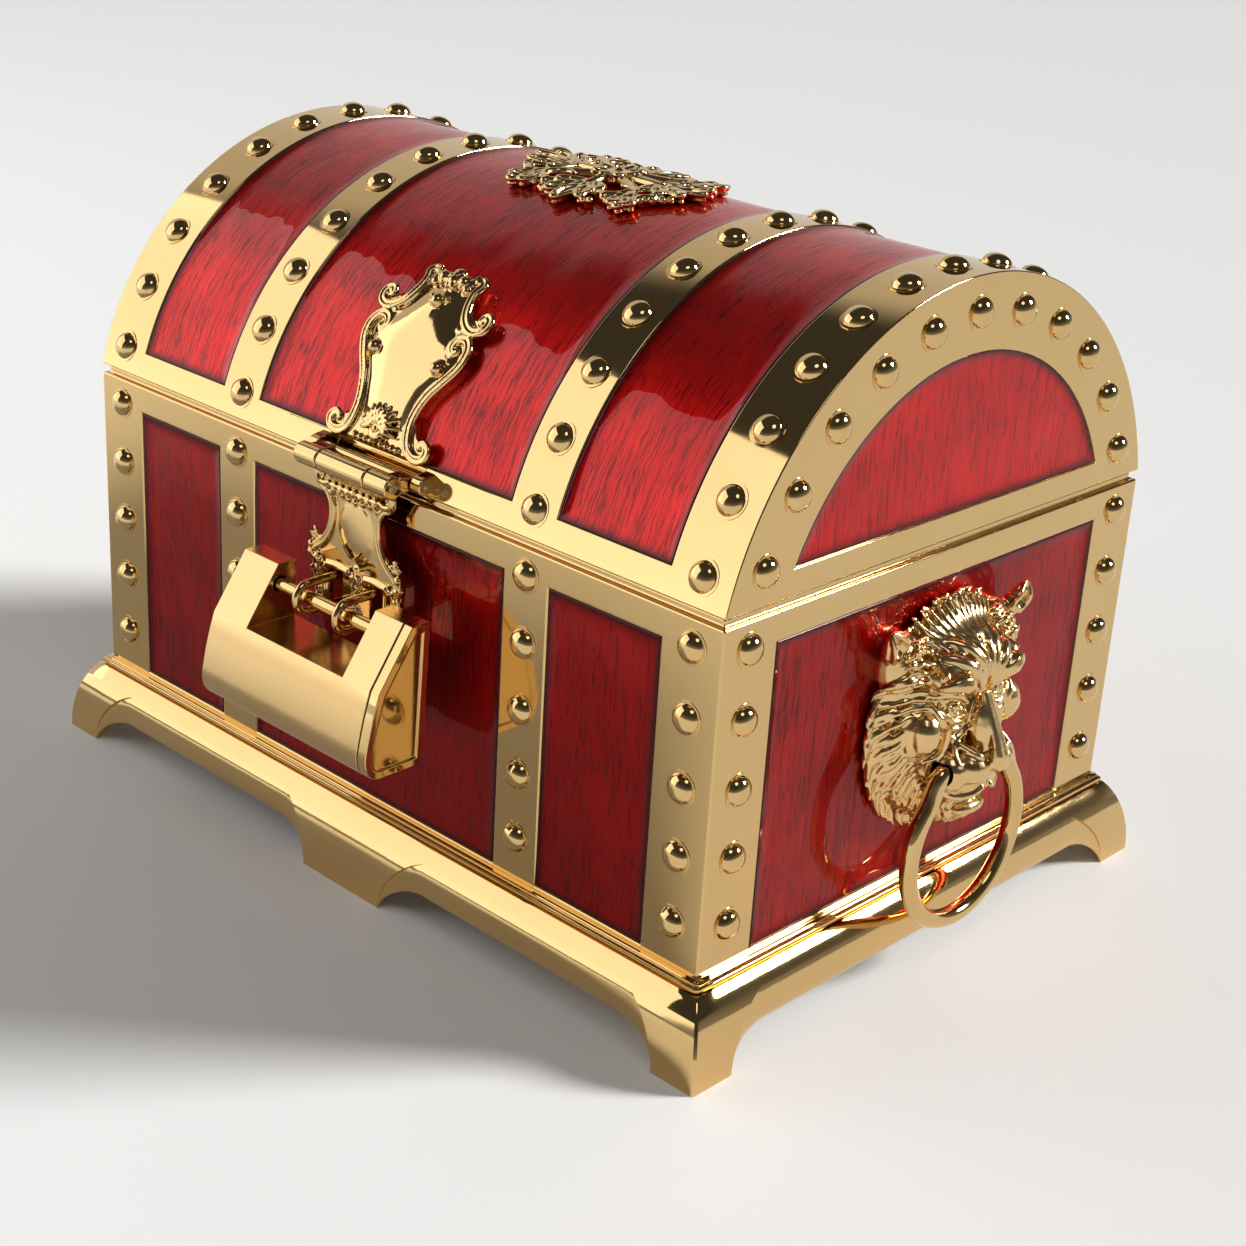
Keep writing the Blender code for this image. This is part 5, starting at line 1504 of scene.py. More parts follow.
def make_loop(name, x):
    """One eye, round in section, with a collar where each end enters the wall."""
    path = [Vector((x, LOOP_ROOT, BAR_Z + LOOP_MEAN))]
    for index in range(LOOP_STEPS + 1):
        turn = pi / 2 + pi * index / LOOP_STEPS
        path.append(Vector((x, BAR_Y + LOOP_MEAN * cos(turn), BAR_Z + LOOP_MEAN * sin(turn))))
    path.append(Vector((x, LOOP_ROOT, BAR_Z - LOOP_MEAN)))
    parts = [swept(path, (LOOP_WIRE, LOOP_WIRE), (1, 0, 0), LOOP_SIDES)]
    for z in (BAR_Z - LOOP_MEAN, BAR_Z + LOOP_MEAN):
        parts.append(rod_mesh(COLLAR_RADIUS, (x, COLLAR[0], z), (x, COLLAR[1], z)))
    return finish_piece(f"loop_{name}", gathered(parts), GOLD, "root", [f"staple_loop_{name}"])


for name, side in ENDS:
    make_loop(name, side * LOOP_X)

# %% [markdown]
# ## Padlock
# The padlock is a folded-looking block with a wide notch, closed at one side by a thick plate
# that pulls out with the bar. Its faces are flat or only slightly crowned, so almost all of its
# look comes from plain planes with rounded edges. One cross-section serves the block and the
# plate. The notch, the bore for the bar and the bay for its stem are cut out of the block, so
# the plate can be pulled out without passing through metal.

# %% Padlock
LOCK_HALF = 24.0 * MM
LOCK_PLATE = 2.2 * MM
LOCK_NOTCH = 13.9 * MM
OUTSIDE = 20 * MM
NOTCH_Z = BAR_Z - 7.0 * MM
LOCK_CROWN = 0.3 * MM
LOCK_TOP = ((3.8, 4.0), (-0.4, 4.0))
LOCK_BROW = (-7.8, -6.8)
LOCK_TURN = ((-10.9, -18.9), (-10.8, -23.4), (-7.1, -23.4))
LOCK_FOOT = (2.6, -23.4)
TURN_STEPS = 8
INNER_END = LOCK_HALF - LOCK_PLATE - GAP
BORE_END = INNER_END + 2 * MM
BORE_TAIL = 5.9 * MM
BAY_LOW = (5.5 * MM - LOCK_HALF, BAR_Y - 5.4 * MM, BAR_Z - 17.0 * MM)
BAY_HIGH = (BORE_END, BAR_Y + 0.6 * MM, BAR_Z - 10.5 * MM)
BORDER_INSETS = (1.5 * MM, 0.28 * MM)
BORDER_DEPTH = 0.25 * MM
BAR_TAIL = 5.6 * MM
STEM_START = 9.5 * MM - LOCK_HALF
STEM_Y = BAR_Y - 2.4 * MM
STEM_Z = BAR_Z - 13.75 * MM
STEM_HALF = (1.0 * MM, 1.8 * MM)


def lock_outline():
    """The cross-section in Y and Z: a slightly crowned front that turns under into a flat foot."""
    brow = Vector(LOCK_BROW) * MM
    start, corner, end = [Vector(point) * MM for point in LOCK_TURN]
    outward = Vector((start.y - brow.y, brow.x - start.x)).normalized() * LOCK_CROWN
    shares = [index / TURN_STEPS for index in range(TURN_STEPS + 1)]
    points = [Vector(point) * MM for point in LOCK_TOP]
    points += [brow.lerp(start, t) + outward * 4 * t * (1 - t) for t in shares[:-1]]
    points += [start * (1 - t) ** 2 + corner * 2 * t * (1 - t) + end * t * t for t in shares]
    points.append(Vector(LOCK_FOOT) * MM)
    return [(BAR_Y + point.x, BAR_Z + point.y) for point in points]


def make_lock_body():
    """The notched block, hollow where the bar and its stem run."""
    tools = [
        box_mesh((-LOCK_NOTCH, BAR_Y - OUTSIDE, NOTCH_Z), (LOCK_NOTCH, FRONT, BAR_Z + OUTSIDE)),
        rod_along_x(BAR_RADIUS + GAP, -LOCK_NOTCH - BORE_TAIL, BORE_END, (BAR_Y, BAR_Z)),
        box_mesh(BAY_LOW, BAY_HIGH),
    ]
    bm = cut(bar_along_x(lock_outline(), -LOCK_HALF, INNER_END), tools)
    return finish_piece("lock_body", bm, SATIN_GOLD, "padlock", ["padlock_body"], bevel=0.32 * MM)


def make_lock_shackle():
    """The sliding plate with an engraved border line, its bar and its stem."""
    bm = bar_along_x(lock_outline(), LOCK_HALF - LOCK_PLATE, LOCK_HALF)
    outer = looking(bm, (1, 0, 0))
    for inset in BORDER_INSETS:
        bmesh.ops.inset_region(bm, faces=outer, thickness=inset, use_even_offset=True)
    for vert in {vert for face in outer for vert in face.verts}:
        vert.co.x -= BORDER_DEPTH
    inside = LOCK_HALF - LOCK_PLATE / 2
    rod = rod_along_x(BAR_RADIUS, -LOCK_NOTCH - BAR_TAIL, inside, (BAR_Y, BAR_Z), 40)
    stem = box_mesh((STEM_START, STEM_Y - STEM_HALF[0], STEM_Z - STEM_HALF[1]),
                    (inside, STEM_Y + STEM_HALF[0], STEM_Z + STEM_HALF[1]))
    bm = gathered([bm, rod, stem])
    return finish_piece("lock_shackle", bm, GOLD, "shackle", ["padlock_shackle"], bevel=0.25 * MM)


make_lock_body()
make_lock_shackle()

# %% [markdown]
# ## Cast ornament
# The cartouche, the strap and the crest are cast from carved patterns: scrolls, leaves, shells
# and beads that melt into each other. Each motif here is a simple closed shape in a flat drawing
# of its own, with X across, a second measure along and a height. All motifs are fused into one
# skin, and only then is the drawing laid in its place on the chest. A scroll is a short list
# of points, read as one smooth curve, with a round bar swept along it.

# %% Motifs
PETAL_DIP = 0.3 * MM
KNEE_RISE = 0.2 * MM
LINE_OFFSET = 0.52
LINE_TAPER = 4.5
LINE_END = 0.3
BALL_GRID = (16, 10)


def ball(place, size, turn=0.0):
    """An ellipsoid; turn rotates it in the drawing."""
    bm = bmesh.new()
    bmesh.ops.create_uvsphere(bm, u_segments=BALL_GRID[0], v_segments=BALL_GRID[1], radius=1)
    shape = Matrix.Translation(place) @ Matrix.Rotation(turn, 4, "Z") @ Matrix.Diagonal((*size, 1))
    bmesh.ops.transform(bm, matrix=shape, verts=bm.verts)
    return bm


def mm_path(points, height, side=1, steps=6):
    """A drawing's points in millimetres as a smooth path at one height."""
    return smooth_path([(side * x * MM, y * MM, height * MM) for x, y in points], steps)


def scaled(width, *shares):
    """Radii in metres, as shares of a width in millimetres."""
    return [share * width * MM for share in shares]


def line(points, height, thick, side=1):
    """A bar through a drawing's points, with its radii in millimetres."""
    return swept(mm_path(points, height, side), scaled(1, *thick))


def double_scroll(points, height, width, side=1):
    """Two raised lines over a low bar that taper into both curled ends."""
    path = mm_path(points, height, side)
    last = len(path) - 1
    bars = []
    for offset in (-LINE_OFFSET, LINE_OFFSET):
        shifted = []
        for index, point in enumerate(path):
            along = path[min(index + 1, last)] - path[max(index - 1, 0)]
            across = Vector((-along.y, along.x, 0)).normalized()
            taper = min(1, LINE_TAPER * min(index, last - index) / last + LINE_END)
            shifted.append(point + across * offset * width * MM * taper)
        bars.append(swept(shifted, scaled(width, 0.36, 0.55, 0.55, 0.36), flat=1.25))
    bars.append(swept(path, scaled(width, 0.5, 0.8, 0.5), flat=0.55))
    return bars


def fan(centre, height, angles, length, radius, root=0.8, rise=0.5):
    """Petals that spread from a point, each a curved tapering bar."""
    petals = []
    start = Vector((centre[0] * MM, centre[1] * MM, height * MM))
    for turn in angles:
        way = Vector((sin(radians(turn)), cos(radians(turn)), 0))
        points = [start + way * root * MM, start + way * length * 0.55 * MM + Vector((0, 0, rise * MM)),
                  start + way * length * MM - Vector((0, 0, PETAL_DIP))]
        petals.append(swept(smooth_path(points, 4), scaled(radius, 0.45, 1, 1.05, 0.5)))
    return petals


def bead(x, y, height, radius, side=1):
    """A round bead."""
    return ball((side * x * MM, y * MM, height * MM), (radius * MM,) * 3)


def leaf(points, height, width, lobes, side=1):
    """An acanthus leaf: a rib with small curled lobes on both sides."""
    path = mm_path(points, height, side, 5)
    parts = [swept(path, scaled(width, 0.55, 0.8, 0.3), flat=0.8)]
    last = len(path) - 1
    for lobe in range(1, lobes + 1):
        index = min(int(last * lobe / (lobes + 0.4)), last - 1)
        along = (path[index + 1] - path[index]).normalized()
        across = Vector((-along.y, along.x, 0))
        size = width * (1.25 - 0.6 * lobe / lobes) * MM
        for way in (-1, 1):
            tip = path[index] + across * way * size * 1.15 + along * size * 1.2
            knee = path[index] + across * way * size * 0.9 + along * size * 0.3 + Vector((0, 0, KNEE_RISE))
            curl = smooth_path([path[index], knee, tip], 3)
            parts.append(swept(curl, [0.35 * size, 0.5 * size, 0.35 * size]))
    return parts


def both_halves(scrolls, beads, leaves, lines=()):
    """The motifs that a drawing has on both sides."""
    parts = []
    for side in (-1, 1):
        for entry in scrolls:
            parts += double_scroll(*entry, side)
        parts += [bead(*entry, side) for entry in beads]
        for entry in leaves:
            parts += leaf(*entry, side)
        parts += [line(*entry, side) for entry in lines]
    return parts


def laid(bm, place):
    """Lay a flat drawing on the chest: place turns (x, y, height) to a point."""
    for vert in bm.verts:
        vert.co = place(*vert.co)
    bmesh.ops.recalc_face_normals(bm, faces=bm.faces)
    return bm


# %% [markdown]
# ## The cartouche
# A domed shield lies in front of the hasp, framed by four scrolls, with a shell at its foot,
# a crown of small lobes at its top and three beads. The shield is a grid whose width follows the
# frame and whose height swells in the middle, so its reflection is a soft round one.

# %% Cartouche
CARTOUCHE_FOOT = LID_RADIUS * PANEL_ANGLE + 0.1 * MM
GRAIN = 0.2 * MM
LOWER_SCROLL = (
    (11.3, 2.2), (11.0, 3.0), (12.2, 3.5), (13.3, 2.3), (12.6, 0.8), (10.6, 0.4), (8.5, 1.6), (7.4, 4.4),
    (7.4, 7.6), (8.7, 11.5), (11.0, 15.0), (12.8, 18.2), (13.0, 21.2), (11.5, 23.1), (9.6, 22.8),
    (8.9, 21.3), (9.8, 20.1), (10.8, 20.9),
)
UPPER_SCROLL = (
    (12.7, 27.0), (11.9, 27.2), (12.6, 28.4), (13.9, 27.7), (13.8, 25.9), (12.0, 24.9), (9.8, 25.4),
    (7.8, 27.3), (6.7, 30.0), (6.5, 32.2), (7.1, 33.7), (6.2, 34.7), (4.9, 34.1), (5.3, 33.2),
)
SHIELD_EDGE = (
    (3.0, 4.6), (7.5, 6.5), (11.5, 7.9), (15.0, 10.1), (18.0, 11.6), (21.0, 11.2), (24.0, 8.8), (27.0, 6.9),
    (30.0, 5.4), (33.0, 3.4),
)
PLATE_EDGE = (
    (0, -0.1), (12.4, 0.2), (13.1, 2.4), (9.2, 4.0), (7.8, 7.6), (9.1, 11.5), (11.4, 15.0), (12.9, 18.6),
    (12.7, 22.2), (10.4, 24.2), (13.4, 25.9), (13.0, 28.2), (9.4, 27.2), (7.5, 29.7), (6.9, 32.0),
    (6.3, 34.4), (3.0, 35.1), (0, 35.4),
)
SHIELD_RISE = (0.75, 1.45)
SHIELD_RIDGE = (0.12, 0.08, 0.45)
SHIELD_FOOT = -0.4 * MM
SHIELD_GRID = (24, 40)
PLATE_FOOT = -0.75 * MM
PLATE_THICK = 1.55 * MM
CARTOUCHE_SCROLLS = ((LOWER_SCROLL, 1.15, 0.95), (UPPER_SCROLL, 1.15, 0.95))
CARTOUCHE_BEADS = (
    (8.5, 16.6, 1.7, 1.35), (2.0, 28.9, 1.75, 0.6), (2.6, 33.3, 1.4, 1.25), (4.2, 32.0, 1.2, 1.0),
)
CARTOUCHE_LEAVES = (
    (((2.2, 31.8), (4.0, 33.5), (5.6, 35.0)), 1.5, 0.9, 2),
    (((7.4, 24.6), (9.0, 24.0), (10.4, 24.4)), 1.0, 0.7, 2),
)
MIDDLE_BEADS = ((0, 28.2, 1.9, 1.35), (0, 33.0, 1.7, 0.95), (0, 3.0, 1.9, 0.8))
FOOT_BEADS = [(step * 1.45, 0.55, 0.9, 0.72) for step in range(-4, 5)]
CARTOUCHE_FANS = (
    ((0, 33.0), 1.5, range(0, 360, 51), 2.1, 0.6, 0.9, 0.3),
    ((0, 34.2), 1.3, (-50, -25, 0, 25, 50), 1.7, 0.5, 0.3, 0.3),
    ((0, 3.4), 1.5, range(-100, 101, 20), 4.9, 0.52, 1.0, 0.8),
    ((0, 3.2), 1.8, range(-80, 81, 32), 3.0, 0.5, 0.4, 0.5),
    ((0, 2.8), 1.5, (115, 140, 165, 195, 220, 245), 2.2, 0.5, 0.3, 0.4),
)


def read_at(pairs, place):
    """Straight-line reading of a short table."""
    for (a, low), (b, high) in zip(pairs, pairs[1:]):
        if place <= b:
            return low + (high - low) * (place - a) / (b - a)
    return pairs[-1][1]


def shield():
    """The domed plate inside the scrolls, with walls down to the ground."""
    bm = bmesh.new()
    bmesh.ops.create_grid(bm, x_segments=SHIELD_GRID[0], y_segments=SHIELD_GRID[1], size=1)
    low, high = SHIELD_EDGE[0][0], SHIELD_EDGE[-1][0]
    for vert in bm.verts:
        across, share = vert.co.x, (vert.co.y + 1) / 2
        along = low + (high - low) * share
        swell = max(1 - across ** 2, 0) ** 0.75 * max(sin(pi * share), 0) ** 0.6
        ridge = SHIELD_RIDGE[0] * exp(-(across / SHIELD_RIDGE[1]) ** 2) * max(share - SHIELD_RIDGE[2], 0)
        height = SHIELD_RISE[0] + SHIELD_RISE[1] * swell + ridge
        vert.co = Vector((across * read_at(SHIELD_EDGE, along), along, height)) * MM
    grown = bmesh.ops.extrude_face_region(bm, geom=bm.faces[:])["geom"]
    for vert in only(BMVert, grown):
        vert.co.z = SHIELD_FOOT
    bmesh.ops.recalc_face_normals(bm, faces=bm.faces)
    return bm


def make_cartouche():
    """Fuse the cartouche's motifs and lay them on the lid."""
    outline = [(x * MM, y * MM, PLATE_FOOT) for x, y in PLATE_EDGE]
    outline += [(-x, y, z) for x, y, z in reversed(outline[1:-1])]
    parts = [thick_outline(outline, (0, 0, PLATE_THICK)), shield()]
    parts += both_halves(CARTOUCHE_SCROLLS, CARTOUCHE_BEADS, CARTOUCHE_LEAVES)
    parts += [bead(*entry) for entry in (*MIDDLE_BEADS, *FOOT_BEADS)]
    for entry in CARTOUCHE_FANS:
        parts += fan(*entry)
    bm = laid(fused(parts, GRAIN), lambda x, y, height: on_lid(x, CARTOUCHE_FOOT + y, height))
    return finish_piece("cartouche_casting", bm, GOLD, "lid", ["cartouche"])


make_cartouche()

# %% [markdown]
# ## The crest
# On top of the lid lies a pierced ornament of broad acanthus petals, open rings with scalloped
# rims and small beads. Red enamel shows through its gaps. Each petal is a thin blade inside a
# raised rim, which reads as a cupped leaf once it is polished. One side is drawn for each
# palmette, and mirroring gives the rest.

# %% Crest
CREST_MIDDLE = LID_RADIUS * pi / 2
END_PETALS = ((0, 11.8, 3.4), (24, 10.8, 3.2), (49, 9.0, 3.0), (78, 7.2, 2.8))
SIDE_PETALS = ((0, 10.6, 3.4), (30, 9.2, 3.1), (62, 7.0, 2.8))
CORNER_PETALS = ((38, 6.0, 2.8), (62, 6.6, 2.9), (88, 5.2, 2.6))
OPEN_RINGS = ((7.6, 8.4, 3.0, 215), (14.0, 7.2, 2.2, 250))
CREST_BEADS = ((11.0, 13.4, 0.9), (9.5, 12.9, 0.75), (12.2, 12.4, 0.7), (18.1, 7.0, 0.85), (19.2, 5.9, 0.75),
               (5.4, 14.9, 0.75), (6.6, 14.3, 0.7))
CREST_HUB = ((0, 0, 0.3), (5.2, 4.2, 1.5))
HUB_BEAD = (0, 0, 1.5, 0.9)
HUB_PETAL = (4.0, 2.2, 1.3)
SIDE_ROOT = 7.4
END_ROOT = 11.0
CORNER_ROOT = (11.6, 9.8)
SIDE_STEM = ((0, 3.0), (0, 8.5))
END_STEM = ((3.6, 0), (12.0, 0))
CORNER_STEM = ((2.8, 2.4), (7.0, 4.2), (10.4, 6.6), (12.0, 10.6))
STEM_HEIGHT = 0.5
RING_GAP = 30
SCALLOP = (1.0 * MM, 1.0 * MM, 1.1 * MM)
SCALLOP_OUT = 0.55
RING_STEPS = 12


def petal(root, turn, length, width, height=0.8):
    """A cupped petal from a root towards a turn counted from +X, in millimetres and degrees."""
    way = Vector((cos(radians(turn)), sin(radians(turn)), 0))
    across = Vector((-way.y, way.x, 0))
    start = Vector((*root, height))
    rim = []
    for angle in range(-150, 151, 30):
        share = 0.5 + 0.5 * cos(radians(angle))
        wide = width / 2 * sin(radians(angle)) * (0.8 + 0.2 * share)
        spot = start + way * (length - 0.5) * share + across * wide + Vector((0, 0, 0.45 * share ** 2))
        rim.append(spot * MM)
    middle = start + way * length * 0.5
    blade = ball((middle.x * MM, middle.y * MM, 0.05 * MM),
                 (length * 0.5 * MM, width * 0.42 * MM, 0.85 * MM), radians(turn))
    return [swept(smooth_path(rim, 3), scaled(1, 0.35, 0.5, 0.62, 0.5, 0.35)), blade]


def open_ring(x, y, radius, gap_turn, sx, sy):
    """A raised ring with a gap and a scalloped outer rim, mirrored by two signs."""
    open_turn = 360 - 2 * RING_GAP
    turns = [radians(gap_turn + RING_GAP + open_turn * step / RING_STEPS) for step in range(RING_STEPS + 1)]
    circle = [((x + radius * cos(turn)) * sx, (y + radius * sin(turn)) * sy) for turn in turns]
    parts = [swept(mm_path(circle, 0.7, 1, 3), scaled(1, 0.55, 0.8, 0.8, 0.55), flat=1.2)]
    reach = radius + SCALLOP_OUT
    for turn in turns[2:11:2]:
        middle = ((x + reach * cos(turn)) * sx * MM, (y + reach * sin(turn)) * sy * MM, 0.5 * MM)
        parts.append(ball(middle, SCALLOP))
    return parts


def heading(turn, sx, sy=1):
    """A turn counted from +X, mirrored by two signs."""
    return sy * turn if sx > 0 else 180 - sy * turn


def both_ways(petals):
    """A table of petals with each turn also taken the other way."""
    return [(way, length, width) for turn, length, width in petals for way in sorted({-turn, turn})]


def crest_quarter(sx, sy):
    """The corner palmette, its stem, the open rings and the beads of one quarter."""
    parts = []
    root = (CORNER_ROOT[0] * sx, CORNER_ROOT[1] * sy)
    for turn, length, width in CORNER_PETALS:
        parts += petal(root, heading(turn, sx, sy), length, width)
    parts.append(line([(x, y * sy) for x, y in CORNER_STEM], STEM_HEIGHT, (1.2, 1.0, 0.9), sx))
    for entry in OPEN_RINGS:
        parts += open_ring(*entry, sx, sy)
    return parts + [bead(x, y * sy, STEM_HEIGHT, radius, sx) for x, y, radius in CREST_BEADS]


def make_crest():
    """Fuse the palmettes, rings and beads and lay them on the lid's top."""
    parts = [ball(*[[value * MM for value in row] for row in CREST_HUB]), bead(*HUB_BEAD)]
    for turn in range(0, 360, 45):
        parts += petal((cos(radians(turn)), sin(radians(turn))), turn, *HUB_PETAL)
    for sy in (-1, 1):
        for turn, length, width in both_ways(SIDE_PETALS):
            parts += petal((0, SIDE_ROOT * sy), sy * (90 + turn), length, width)
        parts.append(line([(x, y * sy) for x, y in SIDE_STEM], STEM_HEIGHT, (1.3, 1.0)))
    for sx in (-1, 1):
        for turn, length, width in both_ways(END_PETALS):
            parts += petal((END_ROOT * sx, 0), heading(turn, sx), length, width)
        parts.append(line(END_STEM, STEM_HEIGHT, (1.4, 1.1), sx))
        for sy in (-1, 1):
            parts += crest_quarter(sx, sy)
    bm = laid(fused(parts, GRAIN), lambda x, y, height: on_lid(x, CREST_MIDDLE + y, height))
    return finish_piece("crest_casting", bm, SATIN_GOLD, "lid", ["lid_crest"])


make_crest()

# %% [markdown]
# ## The strap
# The strap hangs from its pin and drops over the two loops. Its plate has a narrow waist framed
# by raised lines, curls and flowers along its top, leaves at its shoulders and two windows.
# Each window is open downwards through a slit, so the strap can lift off the loops.

# %% Strap
STRAP_STAND = 2.6 * MM
STRAP_THICK = 1.6 * MM
STRAP_LENGTH = PIN_Z - NOTCH_Z - 0.5 * MM
NECK_HALF = 6.1 * MM
NECK_DROP = (0.9 * MM, 4.4 * MM)
NECK_THICK = 2.0 * MM
STRAP_PLATE = 1.0 * MM
STRAP_EDGE = (
    (2.8, 6.2), (4.2, 6.9), (5.4, 9.4), (6.7, 8.2), (9.3, 6.6), (13.4, 7.4), (17.0, 10.4), (19.2, 13.0),
    (21.6, 12.6), (25.4, 12.0), (30.6, 11.6), (32.0, 11.0),
)
WINDOW = (3.9 * MM, 7.6 * MM)
WINDOW_TOP = PIN_Z - (BAR_Z + 3.9 * MM)
WINDOW_FOOT = PIN_Z - (BAR_Z - 4.7 * MM)
SLIT = (LOOP_X - 1.5 * MM, LOOP_X + 1.5 * MM)
STRAP_BORDER = (
    (8.7, 4.2), (9.5, 3.5), (10.3, 4.4), (9.5, 5.6), (8.0, 6.2), (6.5, 8.4), (6.3, 11.2), (7.2, 14.2),
    (9.0, 16.6), (11.2, 18.2), (12.6, 19.6), (12.2, 20.9), (11.2, 20.6),
)
STRAP_LEAVES = (
    (((9.6, 16.4), (11.2, 15.8), (12.6, 16.8)), 1.2, 0.9, 2),
    (((10.6, 19.2), (11.8, 22.6), (10.6, 26.0), (11.0, 29.8)), 1.1, 0.85, 5),
)
STRAP_BEADS = ((12.3, 18.2, 1.4, 0.8), (12.9, 20.0, 1.2, 0.7), (6.3, 6.4, 1.5, 0.7))
STRAP_LINES = (
    (((9.0, 3.1), (9.8, 2.5), (10.6, 3.2), (10.2, 4.6), (8.6, 5.2), (6.8, 4.6)), 1.6, (0.5, 0.7, 0.5)),
    (((2.2, 21.2), (5.4, 20.9), (8.6, 21.2)), 0.95, (0.55, 0.6, 0.55)),
    (((9.0, 21.4), (8.9, 26.0), (9.0, 30.6)), 0.95, (0.5, 0.5, 0.5)),
)
FLOWER_PITCH = 1.9
FLOWER_LINE = (4.6, 1.4)
TOP_FLOWER = ((-60, 0, 60, 180), 1.15, 0.42, 0.2, 0.4)
STRAP_BELLY = ((0, 12.5 * MM, 0.7 * MM), (5.2 * MM, 6.4 * MM, 0.95 * MM))
MIDDLE_LEAF = (((0, 19.5), (0, 24.0), (0, 28.6)), 1.1, 0.95, 4)
LOW_FLOWER = ((0, 28.8), 1.2, range(20, 341, 40), 2.1, 0.5, 0.4, 0.4)
LOW_BEAD = (0, 28.8, 1.7, 0.75)


def on_strap(x, y, height):
    """A point of the strap's drawing: across, down from the pin and out from its back face."""
    return Vector((x, FRONT - STRAP_STAND - height, PIN_Z - y))


def strap_plate():
    """The plate with its windows and slits."""
    outline = [(x * MM, y * MM, 0) for y, x in STRAP_EDGE]
    outline += [(-x, y, 0) for x, y, _ in reversed(outline)]
    tools = []
    for side in (-1, 1):
        low, high = sorted((side * WINDOW[0], side * WINDOW[1]))
        tools.append(box_mesh((low, WINDOW_TOP, -2 * MM), (high, WINDOW_FOOT, 4 * MM)))
        low, high = sorted((side * SLIT[0], side * SLIT[1]))
        tools.append(box_mesh((low, WINDOW_FOOT - 1 * MM, -2 * MM), (high, STRAP_LENGTH + 2 * MM, 4 * MM)))
    return cut(thick_outline(outline, (0, 0, STRAP_PLATE)), tools)


def make_strap():
    """The cast strap: plate, border, flowers along the top, leaves and a low belly."""
    parts = [strap_plate()]
    parts += both_halves([(STRAP_BORDER, 1.35, 0.8)], STRAP_BEADS, STRAP_LEAVES, STRAP_LINES)
    for step in range(-3, 4):
        x = step * FLOWER_PITCH
        parts += fan((x, FLOWER_LINE[0]), FLOWER_LINE[1], *TOP_FLOWER)
        parts.append(bead(x, 5.0 + 0.25 * abs(step), 1.8, 0.5))
        if abs(step) < 3:
            parts.append(bead(x, 6.6 - 0.2 * abs(step), 1.2, 0.75))
    parts.append(ball(*STRAP_BELLY))
    parts += leaf(*MIDDLE_LEAF) + fan(*LOW_FLOWER) + [bead(*LOW_BEAD)]
    bm = laid(fused(parts, GRAIN), on_strap)
    return finish_piece("strap_casting", bm, GOLD, "hasp_strap", ["hasp_strap"])


def make_strap_knuckle():
    """The strap's part of the barrel and the neck below it."""
    half = STRAP_KNUCKLE / 2
    top, foot = PIN_Z - NECK_DROP[0], PIN_Z - NECK_DROP[1]
    near, centre = FRONT - STRAP_STAND, FRONT_PIN[0]
    neck = [(centre - NECK_THICK / 2, top), (centre + NECK_THICK / 2, top), (near, foot),
            (near - STRAP_THICK, foot)]
    parts = [rod_along_x(LINK_KNUCKLE, -half, half, FRONT_PIN, 48),
             bar_along_x(neck, -NECK_HALF, NECK_HALF)]
    return finish_piece("strap_knuckle", gathered(parts), GOLD, "hasp_strap", bevel=0.28 * MM)


make_strap()
make_strap_knuckle()

# %% [markdown]
# ## Ring pulls
# A ring pull is a bent rod. It runs round three quarters of a circle, and its two ends turn in
# and become short pins, which sit in holes at the corners of the lion's mouth. The rod is swept
# along that path, so the ring can swing outwards while its pins only turn.

# %% Rings
RING_RADIUS = 16.0 * MM
RING_WIRE = 1.75 * MM
RING_PIVOT_X = HALF_X + 9.8 * MM
RING_PIVOT_Z = TUB_TOP - 37.8 * MM
RING_OPEN = radians(51.4)
RING_HOOK = ((11.6, -4.5), (10.9, -2.9), (10.2, -1.3), (9.2, -0.25), (8.0, 0.0), (6.8, 0.0))
ROUND_STEPS = 30


def make_ring(name, side):
    """One ring with its pins on the pivot."""
    half = []
    for index in range(ROUND_STEPS + 1):
        turn = (pi - RING_OPEN) * index / ROUND_STEPS
        half.append((RING_RADIUS * sin(turn), -RING_RADIUS * (1 + cos(turn))))
    half += [(across * MM, rise * MM) for across, rise in RING_HOOK]
    points = [(0, -across, rise) for across, rise in reversed(half[1:])] + [(0, *spot) for spot in half]
    bm = swept(smooth_path(points, 3), (RING_WIRE, RING_WIRE), (1, 0, 0), 24)
    bmesh.ops.translate(bm, vec=(side * RING_PIVOT_X, MID_Y, RING_PIVOT_Z), verts=bm.verts)
    return finish_piece(f"ring_{name}", bm, GOLD, f"ring_{name}", [f"ring_pull_{name}"])


for name, side in ENDS:
    make_ring(name, side)

# %% [markdown]
# ## The lions
# Each lion's head is a relief: deep in the middle and flat behind. It is built as a sculptor
# would block it out, in a drawing with X as reach out of the chest, Y across and Z up. First
# come the big masses of skull, brow, cheeks and muzzle. A soft maximum of those same ellipsoids
# tells how far the face stands out at any spot, so every wrinkle and every lock of hair can be
# laid on it as a bar that is half sunk in. Everything is fused into one skin, the back is cut
# flat, and the ring's way through the mouth is bored out.

